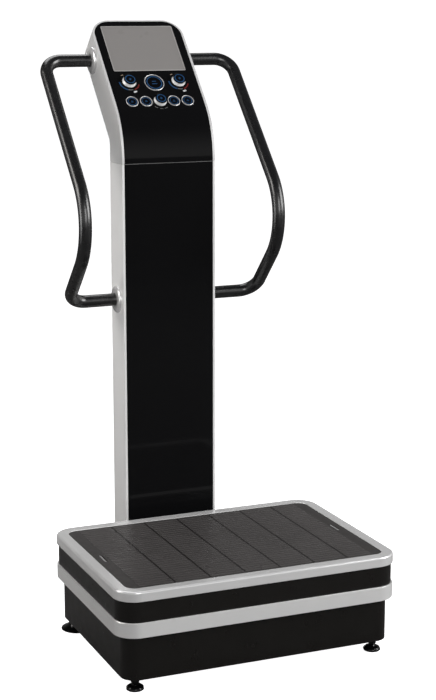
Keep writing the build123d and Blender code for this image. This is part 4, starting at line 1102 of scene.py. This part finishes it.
@dataclass
class Console:
    """The screen, the start key, the small keys and the dials."""

    face: ConsoleFace
    screen_gap: float = 0.15 * MM
    bezel_width: float = 2.4 * MM
    bezel_round: float = 0.3 * MM
    bezel_depth: float = 4 * MM
    glass_gap: float = 0.1 * MM
    glass_top: float = -0.6 * MM
    glass_round: float = 0.2 * MM
    glass_bottom: float = -6 * MM
    trim_width: float = 2.2 * MM
    trim_height: float = 2 * MM
    trim_step: float = 1.7 * MM
    trim_depth: float = 4.5 * MM
    key_gap: float = 0.15 * MM
    key_drop: float = 0.7 * MM
    key_depth: float = 5.3 * MM
    print_height: float = 0.25 * MM
    print_root: float = 0.1 * MM
    dial_gap: float = 0.3 * MM
    dial_height: float = 12 * MM
    shaft_radius: float = 3 * MM
    shaft_depth: float = 8 * MM
    dial_steps: int = 72
    arc_step: float = 5.0

    def build(self) -> None:
        """Builds every piece of the console."""
        self.screen()
        face = self.face
        self.ring("start_ring_trim", "start_ring", [face.start], face.start_radius)
        self.ring("key_rings_trim", "key_rings", [(x, face.key_row) for _, x in face.keys()], face.key_radius)
        self.key("start_key", "start_button", face.start, face.start_radius, START_PRINT)
        for number, x in face.keys():
            self.key(f"key_{number}", f"button_{number}", (x, face.key_row), face.key_radius, SMALL_PRINT)
        for name in ("left", "right"):
            place = (face.across(f"{name}_dial"), face.dial_row)
            self.dial(f"{name}_dial", f"{name}_knob", place, UPPER_DIAL)
            self.scale(f"{name}_scale", place)
        self.dial("lower_dial", "lower_knob", (0.0, face.key_row), LOWER_DIAL)
        for arc in LOWER_SCALE:
            self.band("lower_scale", (0.0, face.key_row), arc)
        NODES["console_board"].data.materials[0] = CIRCUIT.material()

    def screen(self) -> None:
        """The grey screen in its thin light frame."""
        face = self.face
        gap = Vector((self.screen_gap, self.screen_gap))
        half = Vector(face.screen_size) / 2 - gap
        outer = Outline(-half, half, face.screen_corner)
        inner, bottom = outer.shrunk(self.bezel_width), -self.bezel_depth
        frame_mesh = bmesh.new()
        ring_wall(frame_mesh, [
            (outer, bottom), (outer, -self.bezel_round), (outer.shrunk(self.bezel_round), 0.0), (inner, 0.0),
            (inner, bottom)])
        piece(face.placed(frame_mesh, 0, face.screen_middle), "screen_frame", "base", SCREEN_EDGE,
              ("screen_bezel",))
        glass = outer.shrunk(self.bezel_width + self.glass_gap)
        cover = bmesh.new()
        plate_wall(cover, [
            (glass, self.glass_bottom), (glass, self.glass_top - self.glass_round),
            (glass.shrunk(self.glass_round), self.glass_top)])
        piece(face.placed(cover, 0, face.screen_middle), "screen_cover", "base", SCREEN_GREY,
              ("screen",))

    def ring(self, name: str, node: str, places: list[tuple[float, float]], radius: float) -> None:
        """Raised trim rings of one size, in one piece.

        Args:
            name: Name of the piece.
            node: The CAD node that it stands for.
            places: The ring centres on the face.
            radius: Their outer radius.
        """
        inner, top, neck = radius - self.trim_width, self.trim_height, radius - self.trim_step
        section = [
            (inner, -self.trim_depth), (inner, top - 0.7 * MM), (inner + 0.25 * MM, top - 0.2 * MM),
            (inner + 0.8 * MM, top), (radius - 0.9 * MM, top), (radius - 0.3 * MM, top - 0.3 * MM),
            (radius, top - 0.9 * MM), (radius, 0.02 * MM), (neck, 0.02 * MM), (neck, -self.trim_depth),
        ]
        whole = bmesh.new()
        for place in places:
            mesh = bmesh.new()
            lathe(mesh, section)
            data = bpy.data.meshes.new("ring_part")
            self.face.placed(mesh, *place).to_mesh(data)
            mesh.free()
            whole.from_mesh(data)
            bpy.data.meshes.remove(data)
        piece(whole, name, "base", CHROME, (node,))

    def key(self, node: str, body: str, place: tuple[float, float], ring: float, ink: KeyPrint) -> None:
        """A round black key with a printed blue ring and a plain blue mark.

        Args:
            node: The CAD node that it stands for.
            body: The body that it rides on.
            place: Its place across and up the face.
            ring: Outer radius of its ring.
            ink: What is printed on it.
        """
        radius, top = ring - self.trim_width - self.key_gap, self.trim_height - self.key_drop
        mesh = bmesh.new()
        lathe(mesh, [(0.0, -self.key_depth), (radius, -self.key_depth), (radius, top - 0.8 * MM),
                     (radius - 0.25 * MM, top - 0.25 * MM), (radius - 0.8 * MM, top), (0.0, top)])
        piece(self.face.placed(mesh, *place), f"{node}_cap", body, KEY_BLACK, (node,))
        outer = radius * ink.share
        self.printed_ring(f"{node}_blue", body, place, (outer - ink.width, outer), top)
        self.mark(node, body, place, top, [(0.0, height, half, ink.thick / 2) for height, half in ink.bars])

    def mark(self, node: str, body: str, place: tuple[float, float], base: float,
             bars: list[tuple[float, float, float, float]]) -> None:
        """A plain blue mark of a few bars.

        Args:
            node: The CAD node that carries it.
            body: The body that it rides on.
            place: Its place across and up the face.
            base: Height of the surface that it is printed on.
            bars: Each bar's middle across and up, and half its width and height.
        """
        mesh = bmesh.new()
        for x, y, half_width, half_height in bars:
            block(mesh, Vector((x - half_width, y - half_height, base)),
                  Vector((x + half_width, y + half_height, base + self.print_height)))
        piece(self.face.placed(mesh, *place), f"{node}_mark", body, BLUE_PRINT)

    def printed_ring(self, name: str, body: str, place: tuple[float, float], radii: tuple[float, float],
                     base: float) -> None:
        """A thin blue ring printed on a cap.

        Args:
            name: Name of the piece.
            body: The body that it rides on.
            place: Its place across and up the face.
            radii: Its inner and outer radius.
            base: Height of the surface that it is printed on.
        """
        low, top = base - self.print_root, base + self.print_height
        mesh = bmesh.new()
        lathe(mesh, [(radii[0], low), (radii[0], top), (radii[1], top), (radii[1], low)])
        piece(self.face.placed(mesh, *place), name, body, BLUE_PRINT)

    def dial(self, node: str, body: str, place: tuple[float, float], size: DialSize) -> None:
        """A dial: a black foot, a silver skirt drawn in under a black cap, and a printed blue ring.

        Args:
            node: The CAD node that it stands for.
            body: The body that it rides on.
            place: Its place across and up the face.
            size: Its sizes.
        """
        low, high, base, skirt, cap = self.dial_gap, self.dial_height, size.base, size.skirt, size.cap
        neck = cap - 0.6 * MM
        foot, side, top = bmesh.new(), bmesh.new(), bmesh.new()
        lathe(foot, [(0.0, -self.shaft_depth), (self.shaft_radius, -self.shaft_depth),
                     (self.shaft_radius, low), (base - 0.4 * MM, low), (base, low + 0.4 * MM),
                     (base - 0.5 * MM, low + 1.0 * MM), (0.0, low + 1.2 * MM)], self.dial_steps)
        lathe(side, [(0.0, low + 0.8 * MM), (skirt, low + 0.8 * MM), (skirt + 0.2 * MM, low + 1.6 * MM),
                     (skirt - 0.2 * MM, low + 2.8 * MM), (neck + 0.6 * MM, high * 0.55),
                     (neck, high - 3.2 * MM), (neck - 0.4 * MM, high - 2.4 * MM), (0.0, high - 2.2 * MM)],
              self.dial_steps)
        lathe(top, [(0.0, high - 2.6 * MM), (cap - 0.3 * MM, high - 2.6 * MM), (cap, high - 2.2 * MM),
                    (cap, high - 0.9 * MM), (cap - 0.3 * MM, high - 0.3 * MM), (cap - 1.0 * MM, high),
                    (0.0, high)])
        piece(self.face.placed(foot, *place), f"{node}_foot", body, KEY_BLACK, (node,))
        piece(self.face.placed(side, *place), f"{node}_skirt", body, DIAL_SILVER)
        piece(self.face.placed(top, *place), f"{node}_cap", body, KEY_BLACK)
        self.printed_ring(f"{node}_blue", body, place, (cap - 5.2 * MM, cap - 2.8 * MM), high)
        thin, long = 1.1 * MM, 3.4 * MM
        arm, middle = (long - thin) / 2, (long + thin) / 2
        self.mark(node, body, place, high, [(0.0, 0.0, thin, long), (-middle, 0.0, arm, thin),
                                            (middle, 0.0, arm, thin)])

    def band(self, name: str, place: tuple[float, float], arc: Arc) -> None:
        """A printed arc round a dial.

        Args:
            name: First part of the piece's name.
            place: The dial's place across and up the face.
            arc: The arc.
        """
        near, far = arc.radius - arc.width / 2, arc.radius + arc.width / 2
        low, top = -self.print_root, self.print_height
        mesh = bmesh.new()
        corners = [mesh.verts.new((r, 0, z)) for r, z in ((near, low), (near, top), (far, top), (far, low))]
        section = mesh.faces.new(corners)
        turn = Matrix.Rotation(math.radians(arc.start), 3, "Z")
        bmesh.ops.rotate(mesh, cent=(0, 0, 0), matrix=turn, verts=mesh.verts)
        bmesh.ops.spin(mesh, geom=[section] + list(section.edges) + corners, cent=(0, 0, 0), axis=(0, 0, 1),
                       angle=math.radians(arc.sweep), steps=max(int(abs(arc.sweep) / self.arc_step), 2))
        piece(self.face.placed(mesh, *place), f"{name}_{arc.name}", "base", arc.finish)

    def scale(self, name: str, place: tuple[float, float]) -> None:
        """The printed scale round an upper dial, blue to red, with two small marks.

        Args:
            name: First part of its pieces' names.
            place: The dial's place across and up the face.
        """
        for arc in UPPER_SCALE:
            self.band(name, place, arc)
        for mark, shift, half, finish in SMALL_MARKS:
            mesh = bmesh.new()
            block(mesh, Vector((0, 0, -self.print_root)) - half, Vector((0, 0, self.print_height)) + half)
            bmesh.ops.rotate(mesh, cent=(0, 0, 0), matrix=MARK_TURN, verts=mesh.verts)
            moved = self.face.placed(mesh, place[0] + shift[0], place[1] + shift[1])
            piece(moved, f"{name}_{mark}", "base", finish)


# ---------------------------------------------------------------- handlebars
@dataclass
class Handlebar:
    """A bent tube from the head to the column, with a flange at each end."""

    side: str
    radius: float = 16 * MM
    bend: float = 45 * MM
    grip_bend: float = 140 * MM
    grip_lead: float = 156 * MM
    grip_height: float = 990 * MM
    around: int = 32
    bend_step: float = 4.0
    least_steps: int = 8
    hole_gap: float = 0.1 * MM
    mouth_round: float = 0.6 * MM
    flange: float = 34 * MM
    collar_lip: float = 5 * MM
    collar_edge: float = 2 * MM
    collar_steps: int = 10

    def build(self) -> None:
        """Builds the tube and its two flanges."""
        sign = -1 if self.side == "left" else 1
        low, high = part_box(f"{self.side}_handlebar")
        upper = self.middle(f"{self.side}_upper_flange")
        lower = self.middle(f"{self.side}_lower_flange")
        wall = high.x if sign < 0 else low.x
        spread = (low.x + self.radius) if sign < 0 else (high.x - self.radius)
        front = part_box("column_shell")[0].y
        route = [
            Vector((wall, upper.y, upper.z)), Vector((spread, upper.y, upper.z)),
            Vector((spread, front - self.grip_lead, self.grip_height)),
            Vector((spread, lower.y, lower.z)), Vector((wall, lower.y, lower.z)),
        ]
        self.tube(route, (self.bend, self.grip_bend, self.bend))
        for level, place in (("upper", upper), ("lower", lower)):
            self.collar(f"{self.side}_{level}_flange", wall, sign, place)

    @staticmethod
    def middle(node: str) -> Vector:
        """The middle of a node's box."""
        low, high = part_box(node)
        return (low + high) / 2

    def tube(self, route: list[Vector], bends: tuple[float, ...]) -> None:
        """Sweeps a ring along straight runs and true arcs.

        Args:
            route: The corner points of the tube's middle line.
            bends: Radius at each inner corner.
        """
        mesh = bmesh.new()
        first = (route[1] - route[0]).normalized()
        made = bmesh.ops.create_circle(mesh, cap_ends=False, segments=self.around, radius=self.radius)
        turn = Vector((0, 0, 1)).rotation_difference(first).to_matrix()
        bmesh.ops.rotate(mesh, cent=(0, 0, 0), matrix=turn, verts=made["verts"])
        bmesh.ops.translate(mesh, vec=route[0], verts=made["verts"])
        ring = list(mesh.edges)
        done = 0.0
        for before, corner, after, radius in zip(route, route[1:], route[2:], bends):
            into, away = (corner - before).normalized(), (after - corner).normalized()
            angle = into.angle(away)
            tangent = radius * math.tan(angle / 2)
            ring = self.straight(mesh, ring, into * ((corner - before).length - done - tangent))
            axis = into.cross(away).normalized()
            centre = corner - into * tangent + axis.cross(into) * radius
            steps = max(int(math.degrees(angle) / self.bend_step), self.least_steps)
            spun = bmesh.ops.spin(mesh, geom=ring, cent=centre, axis=axis, angle=angle, steps=steps)
            ring = [item for item in spun["geom_last"] if isinstance(item, bmesh.types.BMEdge)]
            done = tangent
        last = (route[-1] - route[-2]).normalized()
        self.straight(mesh, ring, last * ((route[-1] - route[-2]).length - done))
        bmesh.ops.remove_doubles(mesh, verts=mesh.verts, dist=MERGE)
        bmesh.ops.holes_fill(mesh, edges=[e for e in mesh.edges if e.is_boundary])
        piece(mesh, f"{self.side}_tube", "base", TUBE_BLACK, (f"{self.side}_handlebar",),
              crease=60.0)

    @staticmethod
    def straight(
        mesh: bmesh.types.BMesh, ring: list[bmesh.types.BMEdge], by: Vector
    ) -> list[bmesh.types.BMEdge]:
        """Pulls a ring of edges along a straight run.

        Args:
            mesh: The mesh that holds the ring.
            ring: The edges to pull.
            by: How far and which way.

        Returns:
            The ring at the far end.
        """
        pulled = bmesh.ops.extrude_edge_only(mesh, edges=ring)
        verts = [item for item in pulled["geom"] if isinstance(item, bmesh.types.BMVert)]
        bmesh.ops.translate(mesh, vec=by, verts=verts)
        far = set(verts)
        return [item for item in pulled["geom"]
                if isinstance(item, bmesh.types.BMEdge) and set(item.verts) <= far]

    def collar(self, node: str, wall: float, sign: int, place: Vector) -> None:
        """A silver flange with a rounded shoulder and a step against the tube.

        Args:
            node: The CAD node that it stands for.
            wall: Where the column's side is, across the model.
            sign: Which way the flange stands: -1 for the left side, 1 for the right.
            place: The flange's middle.
        """
        low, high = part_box(node)
        thick = high.x - low.x
        hole = self.radius + self.hole_gap
        mesh = bmesh.new()
        inner = hole + self.collar_lip
        profile = [(hole, 0.0), (self.flange, 0.0), (self.flange, self.collar_edge)]
        for step in range(1, self.collar_steps + 1):
            angle = math.pi / 2 * step / self.collar_steps
            profile.append((inner + (self.flange - inner) * math.cos(angle),
                            self.collar_edge + (thick - self.collar_edge) * math.sin(angle)))
        profile += [(hole + self.mouth_round, thick), (hole, thick - self.mouth_round)]
        lathe(mesh, profile, 64)
        turn = Matrix.Rotation(sign * math.pi / 2, 4, "Y")
        moved = Matrix.Translation((wall, place.y, place.z)) @ turn
        bmesh.ops.transform(mesh, matrix=moved, verts=mesh.verts)
        piece(mesh, f"{node}_collar", "base", COLLAR_SILVER, (node,))


# ---------------------------------------------------------------- inner works
def dress_inner_works() -> None:
    """Gives the drive's CAD nodes their own surfaces."""
    finishes = {
        BARE_STEEL: ("pivot_shaft", "crankshaft", "motor_rotor"),
        CAST_IRON: ("front_pivot_block", "rear_pivot_block", "left_connecting_rod", "right_connecting_rod",
                    "left_crank_bearing", "right_crank_bearing", "crank_pulley"),
        MOTOR_GREY: ("motor",),
        BELT_BLACK: ("drive_belt", "control_box"),
    }
    for finish, nodes in finishes.items():
        for node in nodes:
            NODES[node].data.materials[0] = finish.material()
            log.info("%s is dressed in %s", node, finish.name)


# ---------------------------------------------------------------- studio
@dataclass(frozen=True)
class Softbox:
    """A square area light.

    Args:
        name: Its name.
        place: Where it stands.
        target: The point that it faces.
        size: Its width, in metres.
        power: Its power, in watts.
        tint: Its colour.
        spread: Angle of its beam, in degrees.
    """

    name: str
    place: tuple[float, float, float]
    target: Vector
    size: float
    power: float
    tint: tuple[float, float, float] = (1.0, 1.0, 1.0)
    spread: float = 180.0

    def build(self) -> None:
        """Sets the light up."""
        data = bpy.data.lights.new(self.name, "AREA")
        data.energy, data.size, data.color = self.power, self.size, self.tint
        data.spread = math.radians(self.spread)
        made = bpy.data.objects.new(self.name, data)
        made.location = self.place
        made.rotation_euler = (self.target - made.location).to_track_quat("-Z", "Y").to_euler()
        bpy.context.scene.collection.objects.link(made)


@dataclass(frozen=True)
class Studio:
    """The floor, the lights and the camera."""

    deck_middle: float
    azimuth: float = 22.98
    elevation: float = 11.75
    distance: float = 3.8886
    aim_x: float = -10.7 * MM
    aim_height: float = 717.6 * MM
    lens: float = 85.31
    floor_reach: float = 80.0
    wall_reach: float = 60.0
    zenith: tuple[float, float, float] = (0.05, 0.05, 0.055)
    horizon: tuple[float, float, float] = (0.8, 0.79, 0.78)
    rise: tuple[float, float] = (0.05, 0.7)
    rear_dim: float = 0.25
    rear_reach: float = 0.8
    sensor: float = 36.0
    clip: tuple[float, float] = (0.05, 1000.0)

    def build(self) -> None:
        """Sets up the floor, the sky, the lights and the camera."""
        seen = self.floor("floor", PALE_FLOOR, 0.0)
        seen.visible_diffuse = seen.visible_glossy = False
        bounce = self.floor("floor_bounce", BOUNCE_FLOOR, -1 * MM)
        bounce.visible_camera = False
        self.backdrop()
        self.world()
        middle = Vector((0, self.deck_middle, 0.6))
        for softbox in (
            Softbox("key_softbox", (3.4, -2.4, 2.5), middle, 2.4, 150),
            Softbox("front_softbox", (-0.4, -4.8, 2.4), middle, 2.0, 70),
            Softbox("side_softbox", (-2.4, 0.5, 2.2), Vector((0, 0.2, 1.1)), 1.2, 30, (1.0, 0.97, 0.94)),
            Softbox("column_softbox", (-2.2, 0.4, 0.9), Vector((0, 0.3, 0.8)), 0.9, 1.25, spread=45.0),
            Softbox("top_softbox", (0.2, 1.9, 3.6), middle, 2.0, 45),
        ):
            softbox.build()
        self.camera()
        view = bpy.context.scene.view_settings
        view.view_transform, view.look, view.exposure, view.gamma = "Standard", "None", 0.0, 1.0

    def floor(self, name: str, finish: Finish, height: float) -> bpy.types.Object:
        """A wide level floor.

        Args:
            name: Its name.
            finish: Its surface.
            height: Where it lies.

        Returns:
            The floor.
        """
        mesh = bmesh.new()
        bmesh.ops.create_grid(mesh, x_segments=1, y_segments=1, size=self.floor_reach)
        bmesh.ops.translate(mesh, vec=(0, 0, height), verts=mesh.verts)
        return self.staged(mesh, name, finish)

    def backdrop(self) -> None:
        """A round pale wall far off, seen by the camera alone."""
        mesh = bmesh.new()
        bmesh.ops.create_cone(mesh, cap_ends=False, segments=64, radius1=self.wall_reach,
                              radius2=self.wall_reach, depth=2 * self.wall_reach)
        wall = self.staged(mesh, "backdrop", PALE_FLOOR)
        wall.visible_diffuse = wall.visible_glossy = wall.visible_shadow = False

    @staticmethod
    def staged(mesh: bmesh.types.BMesh, name: str, finish: Finish) -> bpy.types.Object:
        """Turns a mesh into a part of the stage.

        Args:
            mesh: The mesh; it is freed.
            name: Its name.
            finish: Its surface.

        Returns:
            The new object.
        """
        data = bpy.data.meshes.new(name)
        mesh.to_mesh(data)
        mesh.free()
        data.materials.append(finish.material())
        made = bpy.data.objects.new(name, data)
        bpy.context.scene.collection.objects.link(made)
        return made

    def world(self) -> None:
        """A studio's walls and ceiling: pale near the floor, dark overhead."""
        world = bpy.data.worlds.new("studio_walls")
        world.use_nodes = True
        nodes, links = world.node_tree.nodes, world.node_tree.links
        direction = nodes.new("ShaderNodeTexCoord")
        parts = nodes.new("ShaderNodeSeparateXYZ")
        rise = nodes.new("ShaderNodeMapRange")
        rise.interpolation_type = "SMOOTHSTEP"
        rise.inputs["From Min"].default_value, rise.inputs["From Max"].default_value = self.rise
        shades = nodes.new("ShaderNodeMix")
        shades.data_type = "RGBA"
        shades.inputs["A"].default_value = self.horizon + (1.0,)
        shades.inputs["B"].default_value = self.zenith + (1.0,)
        links.new(direction.outputs["Generated"], parts.inputs["Vector"])
        links.new(parts.outputs["Z"], rise.inputs["Value"])
        links.new(rise.outputs["Result"], shades.inputs["Factor"])
        links.new(shades.outputs["Result"], nodes["Background"].inputs["Color"])
        depth = nodes.new("ShaderNodeMapRange")
        depth.interpolation_type = "SMOOTHSTEP"
        depth.inputs["From Min"].default_value, depth.inputs["From Max"].default_value = 0.0, self.rear_reach
        depth.inputs["To Min"].default_value, depth.inputs["To Max"].default_value = 1.0, self.rear_dim
        links.new(parts.outputs["Y"], depth.inputs["Value"])
        links.new(depth.outputs["Result"], nodes["Background"].inputs["Strength"])
        bpy.context.scene.world = world

    def camera(self) -> None:
        """The camera, at the user's left front and a little above the head."""
        around, above = math.radians(self.azimuth), math.radians(self.elevation)
        level = Vector((math.sin(around), math.cos(around), 0)) * math.cos(above)
        look = level - Vector((0, 0, math.sin(above)))
        aim = Vector((self.aim_x, self.deck_middle, self.aim_height))
        data = bpy.data.cameras.new("camera")
        data.lens, data.sensor_width = self.lens, self.sensor
        data.clip_start, data.clip_end = self.clip
        made = bpy.data.objects.new("camera", data)
        made.location = aim - look * self.distance
        made.rotation_euler = look.to_track_quat("-Z", "Y").to_euler()
        bpy.context.scene.collection.objects.link(made)
        bpy.context.scene.camera = made


def main() -> None:
    """Builds the object's sub-assemblies in order."""
    logging.basicConfig(level=logging.INFO, format="%(name)s: %(message)s")
    low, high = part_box("deck_rim")
    Studio(deck_middle=(low.y + high.y) / 2).build()
    Deck().build()
    Base().build()
    Column().build()
    Console(ConsoleFace.of_dial()).build()
    for side in ("left", "right"):
        Handlebar(side).build()
    dress_inner_works()


if __name__ == "__main__":
    main()
